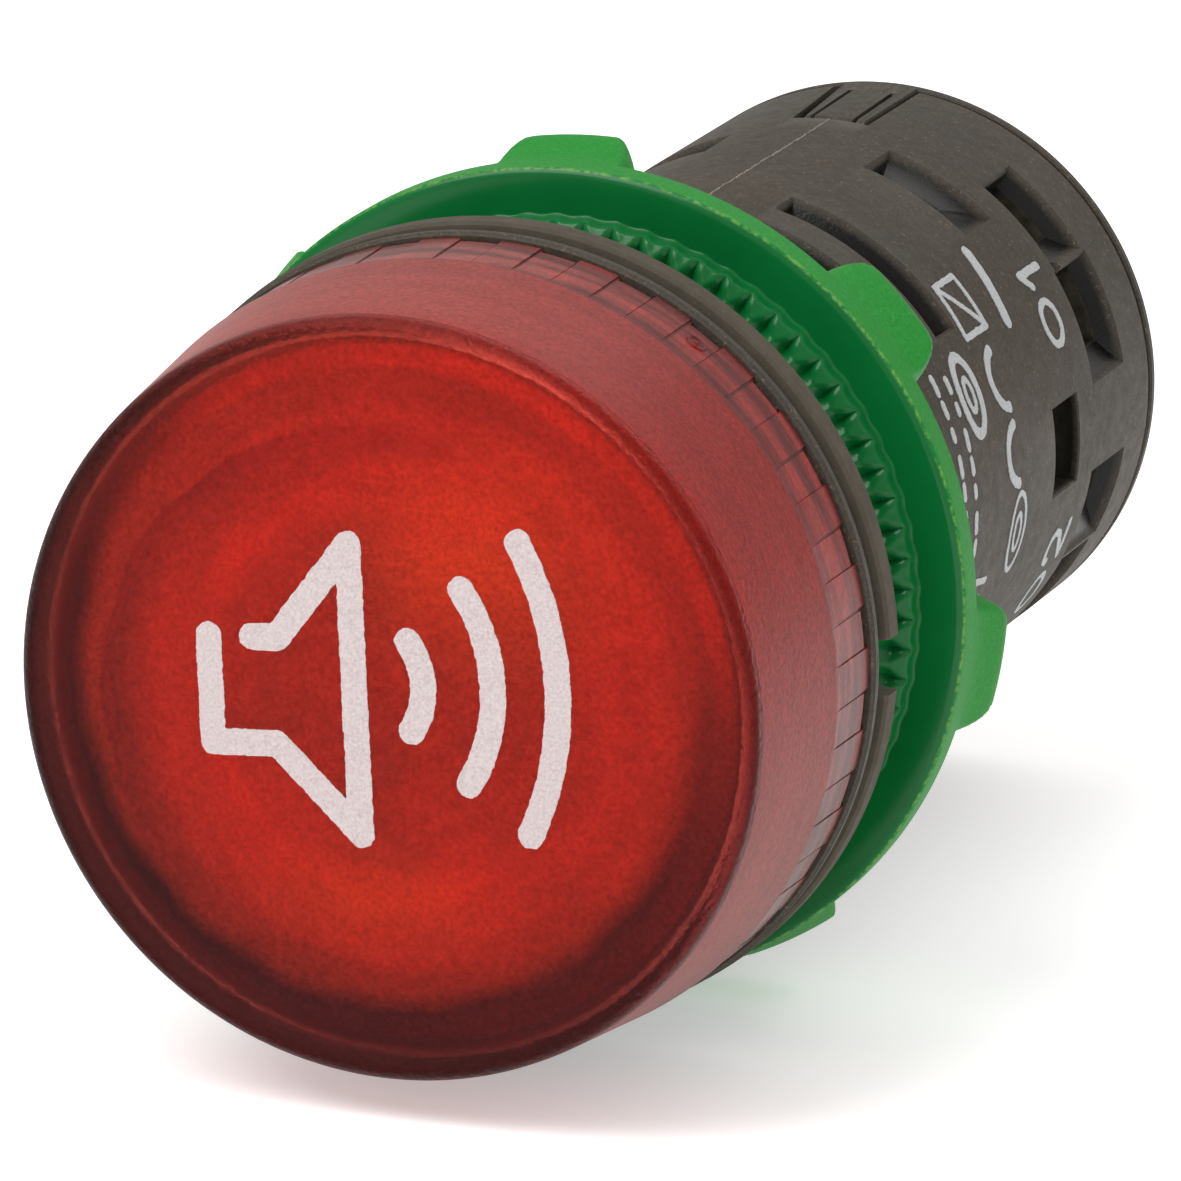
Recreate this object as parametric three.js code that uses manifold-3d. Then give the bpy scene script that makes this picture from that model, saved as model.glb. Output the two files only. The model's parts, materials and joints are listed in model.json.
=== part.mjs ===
// Panel-mount illuminated buzzer for a 22.5 mm hole: a red lens over LEDs and a piezo
// sounder, a threaded barrel with a fixing nut, and two screw terminals at the rear.
//
// Millimetres. Y is the device's axis, -Y the front (the lens) and +Y the rear, +Z is up.
// The origin is on the axis at the rear face of the seal, where the panel's front lies.
// Angles round the axis are in degrees, from +Z towards +X.
import * as THREE from 'three';
import { mergeVertices } from 'three/addons/utils/BufferGeometryUtils.js';
import Module from 'manifold-3d';

const wasm = await Module();
wasm.setup();

// ---- Driving dimensions -------------------------------------------------------------
const CLEARANCE = 0.3;          // air between neighbouring pieces
const WELD = 1e-4;              // distance below which two vertices are one

const SIDES = 48;               // flats round the large turned pieces
const MEDIUM_SIDES = 36;        // flats round pieces inside the barrel
const SMALL_SIDES = 20;         // flats round small turned pieces
const FINE_SIDES = 10;          // flats round small holes and the LEDs' domes
const WIRE_SIDES = 8;
const SECTOR_STEP = 7.5;        // largest angle between two vertices of a sector's arc
const WIRE_STEPS = 3;           // segments between two points of a wire's route
const WIRE_RADIUS = { led: 0.35, piezo: 0.25, supply: 0.5 };

// Routes of the positive wires. The negative ones are their mirror images in z.
const LED_ROUTE = [[2, -5.7, 8.6], [2, -1, 8.6], [2, 4, 8.5], [0.3, 8.5, 7]];
const PIEZO_ROUTE = [[0.5, -4.3, 3], [0.5, 0, 0.65], [0.5, 4.2, 0.65], [0.3, 9, 2]];
const SUPPLY_ROUTE = [[7.8, 27.7, 1.4], [7.2, 25.5, 2], [3.2, 24.3, 5], [0.3, 25, 6.5]];

const LENS_RADIUS = 14.2;
const LENS_FRONT = -12.7;
const LENS_REAR = -2.65;
const LENS_WALL = 1.3;
const LENS_FACE = 1.6;
const LENS_FLAT = 11.6;         // radius of the flat part of the face
const LENS_CREASE = 13.85;      // radius of the edge where the rounded rim meets the side
const LENS_CREASE_Y = -10.9;
const LENS_RIM_STEPS = 5;
const LENS_STEP = -5.65;        // where the frosted band of the side ends
const LENS_SIDES = 60;          // two flats for each sound slot
const SOUND_SLOTS = 30;         // outlets round the lens's rear edge
const SOUND_SLOT_START = 8;
const SOUND_SLOT_ARC = 5.4;
const SOUND_SLOT_DEPTH = 0.5;

const DIFFUSER = {
  radius: 12.5,
  front: -10.5,
  thickness: 1.0,
  skirt: 1.2,
  skirtRear: -8.3,
  grooveInner: 10.3,
  grooveOuter: 11.5,
  grooveDepth: 0.5,
};
const LED_BOARD = {
  radius: 12.4,
  front: -7,
  thickness: 1.0,
  holeRing: 9.6,                // radius of the circle of sound holes
  holeRadius: 0.9,
  holes: 6,
};
const LED = {
  ring: 6.2,                    // radius of the circle of LEDs
  count: 6,
  halfWidth: 1.6,
  halfHeight: 1.4,
  base: 0.7,
  dome: 1.1,                    // radius of the dome
  top: 1.2,
};
const CERAMIC = { radius: 5.5, front: -5.5, thickness: 0.25 };
const MEMBRANE = { radius: 7.5, front: -4.95, thickness: 0.25 };
const GASKET = { inner: 6.3, outer: 7.7, front: -4.4, thickness: 0.4 };
const CHAMBER = {
  bore: 6.9,
  wall: 7.9,
  flange: 11.1,
  front: -3.7,
  flangeThickness: 0.8,
  rear: 3.5,
  floor: 0.8,
  port: 1.5,                    // radius of the sound port in the floor
  wireX: 2,
  wireZ: 8.6,
  wireHole: 0.65,
};

const FLANGE_RADIUS = 14.4;
const FLANGE_BEVEL = 0.2;
const FLANGE_FRONT = -2.35;
const FLANGE_REAR = -1.5;
const FLOOR_FRONT = -2.6;       // ledge inside the head that carries the sounder
const SPIGOT_OUTER = 12.5;
const SPIGOT_INNER = 11.4;
const SPIGOT_FRONT = -5.7;
const SPIGOT_GATES = 6;         // gaps in the spigot that let the sound out sideways
const SPIGOT_GATE_ARC = 24;
const SPIGOT_GATE_DEPTH = 1.8;

const BARREL_RADIUS = 11.0;
const BORE_RADIUS = 9.3;
const BODY_REAR = 40.2;
const OVERALL_REAR = 41.1;

const SEAL_RADIUS = 14.5;
const SEAL_FRONT = -1.2;
const KEY_ANGLE = 90;           // anti-rotation notch in the seal
const KEY_ARC = 8;
const KEY_DEPTH = 1.0;

const NUT_BORE = 11.3;
const NUT_RADIUS = 15.0;
const NUT_FRONT = 5.65;
const NUT_RIM = 1.35;           // thickness of the nut's round flange
const NUT_NECK = 12.9;          // radius where the flange ring meets the toothed neck
const TOOTH_COUNT = 72;
const TOOTH_TIP = 4.25;         // how far forward the teeth reach
const TOOTH_DEPTH = 0.7;
const LOBE_COUNT = 7;
const LOBE_RADIUS = 15.6;
const LOBE_ROOT = 12.6;
const LOBE_HALF_ARC = 9.8;
const LOBE_ROUND = 3.2;         // degrees of arc that each lobe corner is rounded over
const LOBE_REAR = 10.0;
const LOBE_ANGLE = 47;          // angle of the first lobe
const NUT_REAR = 9.4;
const NUT_CHAMFER = 0.15;
const TOOTH_LAND = 0.9;         // radial width of the slope between the teeth and the flange
const LOBE_SHOULDER = 1.2;      // how far below the lobe's top its corners start

const BOARD = {
  left: -1.6,                   // the component face
  thickness: 1.0,
  front: 5.5,
  rear: 30.5,
  halfWidth: 8.6,
  notch: 1.5,                   // corner notches at the front
};
const BOARD_RIGHT = BOARD.left + BOARD.thickness;
const CHIP = {
  gap: 0.2,                     // height of the body above its legs' feet
  thickness: 1.5,
  front: 11,
  rear: 16,
  half: 2,
  legs: 4,
  legHalf: 3,
  legPitch: 1.2,
  legStart: 0.5,
  legWidth: 0.45,
  legHeight: 0.5,
};
// Places on the board: y runs along it, z across it.
const COIL = { y: 19.6, z: -4.2, flange: 2.8, core: 2, height: 4, flangeThickness: 0.8 };
const VARISTOR = { y: 26, z: 3.6, radius: 3.4, height: 3 };
const FILM_CAPACITOR = { low: [-6.6, 8, 0.4], high: [-1.9, 18, 5.9] };
const RECTIFIER = { low: [-4.2, 23, -6.2], high: [-1.9, 28, -1.2] };
const SMOOTHING_CAPACITOR = { radius: 2.5, front: 8, rear: 19, z: -3.2 };
const DROPPER_RESISTOR = { radius: 1.2, front: 9, rear: 16.5, z: -7.2 };

const TERMINAL_X = 4.2;
const TERMINAL_Z = 3.6;
const SCREW_RADIUS = 1.5;
const SCREW_HEAD = 2.5;
const SCREW_HEAD_FRONT = 36.9;
const SCREW_HEAD_HEIGHT = 1.9;
const SCREW_HEAD_BEVEL = 0.7;
const SCREW_POINT = 0.4;        // bevel of the shank's end
const SCREW_TIP = 31.2;
const SCREW_HOLE = 1.85;
const SCREW_SLOT = { halfWidth: 0.35, depth: 0.9, crossHalf: 1.3, crossDepth: 1.2 };
const CLAMP_FRONT = 35.7;
const CLAMP_THICKNESS = 0.9;
const CLAMP_HALF = 2.4;
const CLAMP_LIP = 0.5;
const BAR = {
  front: 33.1,
  thickness: 1.0,
  left: 1.2,
  right: 8.3,
  low: 0.7,
  high: 6.6,
  tabLeft: 7.4,
  tabRight: 8.2,
  tabHigh: 2.2,
  tabFront: 28,
  stopLeft: 6.7,                // groove between the clamped part and the landing at the mouth
  stopRight: 6.95,
  stopDepth: 0.2,
};
const BLOCK = {
  front: 31.8,
  thickness: 1.0,
  rear: 38.9,
  radius: 9,
  wall: 0.3,                    // half the thickness of the wall between the terminals
  wallRight: 8.8,
  spine: 0.6,
  spineHalf: 8.2,
  slotLeft: 7.0,
  slotRight: 8.6,
  slotLow: 0.4,
  slotHigh: 2.6,
};
const COVER = { front: 39.4, spigot: 9, tabInner: 9.6, tabRear: 40.7, chamfer: 0.2 };

// Openings in the barrel's wall: start and end angle, front and rear, and whether the
// opening goes right through the wall.
const WALL_OPENINGS = [
  { name: 'tool pocket, right', start: 17, end: 40.5, front: 28.8, rear: 31.7, through: false },
  { name: 'tool pocket, left', start: -40.5, end: -17, front: 28.8, rear: 31.7, through: false },
  { name: 'solder window', start: 79.5, end: 97, front: 28.6, rear: 31.5, through: true },
  { name: 'wire entry, X1 upper', start: 34.5, end: 55, front: 33.7, rear: 36.9, through: true },
  { name: 'wire entry, X1 lower', start: 57, end: 79.5, front: 33.6, rear: 37.1, through: true },
  { name: 'wire entry, X2 upper', start: 98.5, end: 116, front: 33.6, rear: 37.3, through: true },
  { name: 'wire entry, X2 lower', start: 118, end: 140, front: 33.7, rear: 36.9, through: true },
];
const POCKET_FLOOR = 10.0;

// Moulding grooves in the barrel behind the thread.
const GROOVE_BANDS = [[16.4, 18.2], [20.4, 22.2]];
const GROOVE_STARTS = [14, 126, 194, 306];
const GROOVE_ARC = 40;
const GROOVE_FLOOR = 10.1;

// Snap tab of the rear cover, in its slot at the top of the barrel.
const LATCH_FRONT = 34.2;
const LATCH_HALF_ARC = 6;
const LATCH_SLOT_HALF_ARC = 8;

const FINISHES = {
  red_lens: { color: 0xb42a24, roughness: 0.35, metalness: 0 },
  milky: { color: 0xe9e4da, roughness: 0.5, metalness: 0 },
  dark_body: { color: 0x4b4844, roughness: 0.7, metalness: 0 },
  seal_rubber: { color: 0x5d5853, roughness: 0.85, metalness: 0 },
  green_nut: { color: 0x1f8a45, roughness: 0.45, metalness: 0 },
  board_green: { color: 0x1d5a34, roughness: 0.5, metalness: 0 },
  component_black: { color: 0x202022, roughness: 0.5, metalness: 0 },
  component_yellow: { color: 0xc9a227, roughness: 0.5, metalness: 0 },
  component_blue: { color: 0x2b5f9e, roughness: 0.5, metalness: 0 },
  ceramic: { color: 0xd9d4c5, roughness: 0.6, metalness: 0 },
  led_white: { color: 0xf2efe2, roughness: 0.35, metalness: 0 },
  copper: { color: 0xb87333, roughness: 0.4, metalness: 1 },
  brass: { color: 0xb9973f, roughness: 0.35, metalness: 1 },
  steel: { color: 0xa9adb0, roughness: 0.35, metalness: 1 },
  aluminium: { color: 0xb8babd, roughness: 0.35, metalness: 1 },
  wire_red: { color: 0xa82a22, roughness: 0.5, metalness: 0 },
  wire_black: { color: 0x1b1b1c, roughness: 0.5, metalness: 0 },
};

// ---- Solids from three.js geometry --------------------------------------------------
function signedVolume(points, triangles) {
  let volume = 0;
  const a = new THREE.Vector3();
  const b = new THREE.Vector3();
  const c = new THREE.Vector3();
  for (let i = 0; i < triangles.length; i += 3) {
    a.fromArray(points, 3 * triangles[i]);
    b.fromArray(points, 3 * triangles[i + 1]);
    c.fromArray(points, 3 * triangles[i + 2]);
    volume += a.dot(b.cross(c)) / 6;
  }
  return volume;
}

/** A closed solid from a three.js geometry, welded and with its faces pointing out. */
function solid(geometry) {
  const bare = geometry.clone();
  bare.deleteAttribute('normal');
  bare.deleteAttribute('uv');
  const welded = mergeVertices(bare, WELD);
  const points = Float32Array.from(welded.attributes.position.array);
  const corners = welded.index.array;
  const triangles = [];
  for (let i = 0; i < corners.length; i += 3) {
    const [a, b, c] = corners.slice(i, i + 3);
    if (a !== b && b !== c && c !== a) {
      triangles.push(a, b, c);
    }
  }
  if (signedVolume(points, triangles) < 0) {
    triangles.reverse();
  }
  const mesh = new wasm.Mesh({
    numProp: 3,
    vertProperties: points,
    triVerts: Uint32Array.from(triangles),
  });
  return new wasm.Manifold(mesh);
}

function toGeometry(body) {
  const mesh = body.getMesh();
  const geometry = new THREE.BufferGeometry();
  geometry.setAttribute('position', new THREE.BufferAttribute(mesh.vertProperties, 3));
  geometry.setIndex(new THREE.BufferAttribute(mesh.triVerts, 1));
  geometry.computeVertexNormals();
  return geometry;
}

/** Turned solid about Y. The profile is [radius, y] points; a ring's profile is closed. */
function turned(profile, sides = SIDES) {
  const points = profile.map(([radius, y]) => new THREE.Vector2(radius, y));
  const onAxis = profile[0][0] === 0 && profile.at(-1)[0] === 0;
  if (!onAxis) {
    points.push(points[0].clone());
  }
  return solid(new THREE.LatheGeometry(points, sides));
}

function disc(radius, front, rear, sides = SIDES) {
  return turned([[0, front], [radius, front], [radius, rear], [0, rear]], sides);
}

function ring(inner, outer, front, rear, sides = SIDES) {
  return turned([[inner, front], [outer, front], [outer, rear], [inner, rear]], sides);
}

/** Box from its low corner to its high corner. */
function block(low, high) {
  const size = high.map((value, i) => value - low[i]);
  const middle = high.map((value, i) => (value + low[i]) / 2);
  return solid(new THREE.BoxGeometry(...size).translate(...middle));
}

/** Point at a radius and an angle round the axis, as [x, z]. */
function polar(radius, degrees) {
  const angle = THREE.MathUtils.degToRad(degrees);
  return [radius * Math.sin(angle), radius * Math.cos(angle)];
}

/** Prism along Y from an outline of [x, z] points, with any holes as further outlines. */
function prism(outline, front, rear, holes = []) {
  const toVectors = (points) => points.map(([x, z]) => new THREE.Vector2(x, z));
  const rim = toVectors(outline);
  if (THREE.ShapeUtils.isClockWise(rim)) {
    rim.reverse();
  }
  const shape = new THREE.Shape(rim);
  shape.holes = holes.map((points) => new THREE.Path(toVectors(points)));
  const extruded = new THREE.ExtrudeGeometry(shape, { depth: rear - front, bevelEnabled: false });
  const upright = new THREE.Matrix4().set(1, 0, 0, 0, 0, 0, 1, front, 0, 1, 0, 0, 0, 0, 0, 1);
  return solid(extruded.applyMatrix4(upright));
}

/** Block bounded by two radii, two angles, and its front and rear. */
function sector(inner, outer, start, end, front, rear) {
  const steps = Math.max(1, Math.ceil((end - start) / SECTOR_STEP));
  const outline = [];
  for (let i = 0; i <= steps; i += 1) {
    outline.push(polar(outer, start + ((end - start) * i) / steps));
  }
  for (let i = steps; i >= 0; i -= 1) {
    outline.push(polar(inner, start + ((end - start) * i) / steps));
  }
  return prism(outline, front, rear);
}

function circle(x, z, radius, sides = SMALL_SIDES) {
  const outline = [];
  for (let i = 0; i < sides; i += 1) {
    const [dx, dz] = polar(radius, (360 * i) / sides);
    outline.push([x + dx, z + dz]);
  }
  return outline;
}

/** Round rod along Y that is not on the device's axis. */
function rod(x, z, radius, front, rear, sides = SMALL_SIDES) {
  return prism(circle(x, z, radius, sides), front, rear);
}

function joined(pieces) {
  return pieces.reduce((whole, piece) => whole.add(piece));
}

function cut(body, tools) {
  return tools.reduce((rest, tool) => rest.subtract(tool), body);
}

/** Round wire along a route of [x, y, z] points, whose z is multiplied by side. */
function wire(route, side, radius) {
  const points = route.map(([x, y, z]) => new THREE.Vector3(x, y, z * side));
  const extrudePath = new THREE.CatmullRomCurve3(points);
  const corners = circle(0, 0, radius, WIRE_SIDES);
  const section = new THREE.Shape(corners.map(([x, z]) => new THREE.Vector2(x, z)));
  const steps = WIRE_STEPS * (route.length - 1);
  return solid(new THREE.ExtrudeGeometry(section, { steps, extrudePath, bevelEnabled: false }));
}

// ---- The model ----------------------------------------------------------------------
const group = new THREE.Group();

function place(name, body, finish, position = [0, 0, 0]) {
  const mesh = new THREE.Mesh(toGeometry(body), new THREE.MeshStandardMaterial(FINISHES[finish]));
  mesh.name = name;
  mesh.position.set(...position);
  group.add(mesh);
}

// ---- Head: lens, light and sounder --------------------------------------------------
/** The lens's front from the axis to its crease: a flat face and an elliptical rim. */
function lensFace() {
  const points = [[0, LENS_FRONT]];
  for (let i = 0; i <= LENS_RIM_STEPS; i += 1) {
    const turn = (Math.PI / 2) * (i / LENS_RIM_STEPS);
    points.push([
      LENS_FLAT + (LENS_CREASE - LENS_FLAT) * Math.sin(turn),
      LENS_CREASE_Y - (LENS_CREASE_Y - LENS_FRONT) * Math.cos(turn),
    ]);
  }
  return points;
}

function lensCap() {
  const inner = LENS_RADIUS - LENS_WALL;
  const cup = turned([
    ...lensFace(),
    [LENS_RADIUS, LENS_STEP],
    [LENS_RADIUS, LENS_REAR],
    [inner, LENS_REAR],
    [inner, LENS_FRONT + LENS_FACE],
    [0, LENS_FRONT + LENS_FACE],
  ], LENS_SIDES);
  const slots = [];
  const front = LENS_REAR - SOUND_SLOT_DEPTH;
  for (let i = 0; i < SOUND_SLOTS; i += 1) {
    const start = SOUND_SLOT_START + (360 * i) / SOUND_SLOTS;
    const end = start + SOUND_SLOT_ARC;
    slots.push(sector(inner - 1, LENS_RADIUS + 1, start, end, front, LENS_REAR + 1));
  }
  return cut(cup, slots);
}

/** Milky plate behind the face, with a groove near its edge and a short skirt. */
function lightDiffuser() {
  const { radius, front, thickness, skirt, skirtRear } = DIFFUSER;
  const { grooveInner, grooveOuter, grooveDepth } = DIFFUSER;
  return turned([
    [0, front],
    [grooveInner, front],
    [grooveInner, front + grooveDepth],
    [grooveOuter, front + grooveDepth],
    [grooveOuter, front],
    [radius, front],
    [radius, skirtRear],
    [radius - skirt, skirtRear],
    [radius - skirt, front + thickness],
    [0, front + thickness],
  ], MEDIUM_SIDES);
}

function ledBoard() {
  const { radius, front, thickness, holeRing, holeRadius, holes } = LED_BOARD;
  const rear = front + thickness;
  const tools = [];
  for (let i = 0; i < holes; i += 1) {
    const middle = polar(holeRing, (360 * i) / holes);
    tools.push(rod(...middle, holeRadius, front - 1, rear + 1, FINE_SIDES));
  }
  return cut(disc(radius, front, rear, MEDIUM_SIDES), tools);
}

/** One LED, its back on the plane y = 0 and its dome forwards. */
function led() {
  const { halfWidth, halfHeight, base, dome, top } = LED;
  const housing = block([-halfWidth, -base, -halfHeight], [halfWidth, 0, halfHeight]);
  return housing.add(disc(dome, -top, -base / 2, FINE_SIDES));
}

/** One thin disc of the piezo sounder. */
function wafer({ radius, front, thickness }) {
  return disc(radius, front, front + thickness, MEDIUM_SIDES);
}

function piezoGasket() {
  const { inner, outer, front, thickness } = GASKET;
  return ring(inner, outer, front, front + thickness, MEDIUM_SIDES);
}

/** Cup behind the piezo disc, with a port for the sound in its floor. */
function resonanceChamber() {
  const { bore, wall, flange, front, flangeThickness, rear, floor, port } = CHAMBER;
  const cup = turned([
    [bore, front],
    [flange, front],
    [flange, front + flangeThickness],
    [wall, front + flangeThickness],
    [wall, rear],
    [port, rear],
    [port, rear - floor],
    [bore, rear - floor],
  ], MEDIUM_SIDES);
  const wireHoles = [-1, 1].map((side) => (
    rod(CHAMBER.wireX, side * CHAMBER.wireZ, CHAMBER.wireHole, front - 1, rear, FINE_SIDES)
  ));
  return cut(cup, wireHoles);
}

// ---- Housing ------------------------------------------------------------------------
function housingBody() {
  const shell = turned([
    [BORE_RADIUS, FLOOR_FRONT],
    [SPIGOT_INNER, FLOOR_FRONT],
    [SPIGOT_INNER, SPIGOT_FRONT],
    [SPIGOT_OUTER, SPIGOT_FRONT],
    [SPIGOT_OUTER, FLANGE_FRONT],
    [FLANGE_RADIUS - FLANGE_BEVEL, FLANGE_FRONT],
    [FLANGE_RADIUS, (FLANGE_FRONT + FLANGE_REAR) / 2],
    [FLANGE_RADIUS - FLANGE_BEVEL, FLANGE_REAR],
    [BARREL_RADIUS, FLANGE_REAR],
    [BARREL_RADIUS, BODY_REAR],
    [BORE_RADIUS, BODY_REAR],
  ]);
  const cuts = [];
  for (let i = 0; i < SPIGOT_GATES; i += 1) {
    const start = (360 * i) / SPIGOT_GATES;
    cuts.push(sector(
      SPIGOT_INNER - 1,
      SPIGOT_OUTER + 1,
      start,
      start + SPIGOT_GATE_ARC,
      SPIGOT_FRONT - 1,
      SPIGOT_FRONT + SPIGOT_GATE_DEPTH,
    ));
  }
  for (const { start, end, front, rear, through } of WALL_OPENINGS) {
    const floor = through ? BORE_RADIUS - 1 : POCKET_FLOOR;
    cuts.push(sector(floor, BARREL_RADIUS + 1, start, end, front, rear));
  }
  for (const [front, rear] of GROOVE_BANDS) {
    for (const start of GROOVE_STARTS) {
      cuts.push(sector(GROOVE_FLOOR, BARREL_RADIUS + 1, start, start + GROOVE_ARC, front, rear));
    }
  }
  cuts.push(sector(
    BORE_RADIUS - 1,
    BARREL_RADIUS + 1,
    -LATCH_SLOT_HALF_ARC,
    LATCH_SLOT_HALF_ARC,
    LATCH_FRONT - CLEARANCE,
    BODY_REAR + 1,
  ));
  return cut(shell, cuts);
}

function panelSeal() {
  const gasket = ring(BARREL_RADIUS + CLEARANCE, SEAL_RADIUS, SEAL_FRONT, 0);
  const start = KEY_ANGLE - KEY_ARC / 2;
  const end = start + KEY_ARC;
  const notch = sector(SEAL_RADIUS - KEY_DEPTH, SEAL_RADIUS + 1, start, end, SEAL_FRONT - 1, 1);
  return gasket.subtract(notch);
}

function rearCover() {
  const rim = BODY_REAR + CLEARANCE;
  const plate = turned([
    [0, COVER.front],
    [COVER.spigot, COVER.front],
    [COVER.spigot, rim],
    [BARREL_RADIUS, rim],
    [BARREL_RADIUS, OVERALL_REAR - COVER.chamfer],
    [BARREL_RADIUS - COVER.chamfer, OVERALL_REAR],
    [0, OVERALL_REAR],
  ]);
  const tab = sector(
    COVER.tabInner,
    BARREL_RADIUS,
    -LATCH_HALF_ARC,
    LATCH_HALF_ARC,
    LATCH_FRONT,
    COVER.tabRear,
  );
  const access = [-1, 1].map((side) => (
    rod(TERMINAL_X, side * TERMINAL_Z, SCREW_HEAD + CLEARANCE, COVER.front - 1, OVERALL_REAR + 1)
  ));
  return cut(plate.add(tab), access);
}

// ---- Fixing nut: a round flange ring and the toothed, lobed hub that it is made with --
function nutFlangeRing() {
  return turned([
    [NUT_NECK + CLEARANCE, NUT_FRONT],
    [NUT_RADIUS - NUT_CHAMFER, NUT_FRONT],
    [NUT_RADIUS, NUT_FRONT + NUT_CHAMFER],
    [NUT_RADIUS, NUT_FRONT + NUT_RIM],
    [NUT_NECK + CLEARANCE, NUT_FRONT + NUT_RIM],
  ], SIDES);
}

/** Neck with a face of radial teeth: every second vertex of its front is a valley. */
function toothedNeck() {
  const profile = [
    [NUT_BORE, TOOTH_TIP],
    [NUT_NECK - TOOTH_LAND, TOOTH_TIP],
    [NUT_NECK, NUT_FRONT],
    [NUT_NECK, NUT_REAR],
    [NUT_BORE, NUT_REAR],
    [NUT_BORE, TOOTH_TIP],
  ];
  const points = profile.map(([radius, y]) => new THREE.Vector2(radius, y));
  const geometry = new THREE.LatheGeometry(points, 2 * TOOTH_COUNT);
  const position = geometry.attributes.position;
  const halfPitch = Math.PI / TOOTH_COUNT;
  for (let i = 0; i < position.count; i += 1) {
    const step = Math.round(Math.atan2(position.getX(i), position.getZ(i)) / halfPitch);
    if (position.getY(i) < TOOTH_TIP + WELD && step % 2 !== 0) {
      position.setY(i, TOOTH_TIP + TOOTH_DEPTH);
    }
  }
  return solid(geometry);
}

function lobedStar() {
  const outline = [];
  for (let i = 0; i < LOBE_COUNT; i += 1) {
    const middle = LOBE_ANGLE + (360 * i) / LOBE_COUNT;
    const halfPitch = 180 / LOBE_COUNT;
    const shoulder = LOBE_HALF_ARC - LOBE_ROUND;
    outline.push(polar(LOBE_ROOT, middle - halfPitch));
    outline.push(polar(LOBE_ROOT, middle - LOBE_HALF_ARC - 1));
    outline.push(polar(LOBE_RADIUS - LOBE_SHOULDER, middle - LOBE_HALF_ARC));
    for (const offset of [-shoulder, -shoulder / 2, 0, shoulder / 2, shoulder]) {
      outline.push(polar(LOBE_RADIUS, middle + offset));
    }
    outline.push(polar(LOBE_RADIUS - LOBE_SHOULDER, middle + LOBE_HALF_ARC));
    outline.push(polar(LOBE_ROOT, middle + LOBE_HALF_ARC + 1));
  }
  const bore = circle(0, 0, NUT_BORE, SIDES);
  return prism(outline, NUT_FRONT + NUT_RIM + CLEARANCE, LOBE_REAR, [bore]);
}

// ---- Rear: terminals ----------------------------------------------------------------
/** Insulating disc behind the barrel's bore, with a wall between the two terminals. */
function terminalBlock() {
  const rear = BLOCK.front + BLOCK.thickness;
  const root = BLOCK.front + BLOCK.thickness / 2;
  const pieces = [
    disc(BLOCK.radius, BLOCK.front, rear, MEDIUM_SIDES),
    block([0, root, -BLOCK.wall], [BLOCK.wallRight, BLOCK.rear, BLOCK.wall]),
    block([-BLOCK.spine, root, -BLOCK.spineHalf], [BLOCK.spine, BLOCK.rear, BLOCK.spineHalf]),
  ];
  const tools = [];
  for (const side of [-1, 1]) {
    const edges = [side * BLOCK.slotLow, side * BLOCK.slotHigh];
    tools.push(rod(TERMINAL_X, side * TERMINAL_Z, SCREW_HOLE, BLOCK.front - 1, rear + 1));
    tools.push(block(
      [BLOCK.slotLeft, BLOCK.front - 1, Math.min(...edges)],
      [BLOCK.slotRight, rear + 1, Math.max(...edges)],
    ));
  }
  return cut(joined(pieces), tools);
}

/** Brass bar under one screw, with a landing at the wire's mouth and a solder tab. */
function terminalBar(side) {
  const rear = BAR.front + BAR.thickness;
  const onSide = (left, front, low, right, back, high) => {
    const edges = [side * low, side * high];
    return block([left, front, Math.min(...edges)], [right, back, Math.max(...edges)]);
  };
  const plate = onSide(BAR.left, BAR.front, BAR.low, BAR.right, rear, BAR.high);
  const tab = onSide(BAR.tabLeft, BAR.tabFront, BAR.low, BAR.tabRight, rear, BAR.tabHigh);
  const stopFront = rear - BAR.stopDepth;
  const stop = onSide(BAR.stopLeft, stopFront, 0, BAR.stopRight, rear + 1, BAR.high + 1);
  const bore = disc(BORE_RADIUS - CLEARANCE, BAR.tabFront - 1, rear + 1);
  const hole = rod(TERMINAL_X, side * TERMINAL_Z, SCREW_HOLE, BAR.front - 1, rear + 1);
  return cut(plate.add(tab).intersect(bore), [stop, hole]);
}

/** Square clamp plate about its screw's axis, with two turned-down lips. */
function clampPlate() {
  const half = CLAMP_HALF;
  const plate = block([-half, 0, -half], [half, CLAMP_THICKNESS, half]);
  const lips = [-half, half - CLAMP_LIP].map((z) => (
    block([-half, -CLAMP_LIP, z], [half, CLAMP_LIP, z + CLAMP_LIP])
  ));
  return joined([plate, ...lips]).subtract(rod(0, 0, SCREW_HOLE, -1, CLAMP_THICKNESS + 1));
}

/** Terminal screw about its own axis: a slotted and crossed pan head on a plain shank. */
function terminalScrew() {
  const top = SCREW_HEAD_HEIGHT;
  const length = SCREW_HEAD_FRONT - SCREW_TIP;
  const bevel = SCREW_HEAD_BEVEL;
  const body = turned([
    [0, -length],
    [SCREW_RADIUS - SCREW_POINT, -length],
    [SCREW_RADIUS, SCREW_POINT - length],
    [SCREW_RADIUS, 0],
    [SCREW_HEAD, 0],
    [SCREW_HEAD, top - bevel],
    [SCREW_HEAD - bevel, top],
    [0, top],
  ], SMALL_SIDES);
  const { halfWidth, depth, crossHalf, crossDepth } = SCREW_SLOT;
  const slots = [
    block([-SCREW_HEAD - 1, top - depth, -halfWidth], [SCREW_HEAD + 1, top + 1, halfWidth]),
    block([-halfWidth, top - crossDepth, -crossHalf], [halfWidth, top + 1, crossHalf]),
  ];
  return cut(body, slots);
}

// ---- Electronics on the main board --------------------------------------------------
function mainBoard() {
  const { left, front, rear, halfWidth, notch } = BOARD;
  const board = block([left, front, -halfWidth], [BOARD_RIGHT, rear, halfWidth]);
  const corners = [-1, 1].map((side) => block(
    [left - 1, front - 1, side * halfWidth - notch],
    [BOARD_RIGHT + 1, front + notch, side * halfWidth + notch],
  ));
  return cut(board, corners);
}

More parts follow.
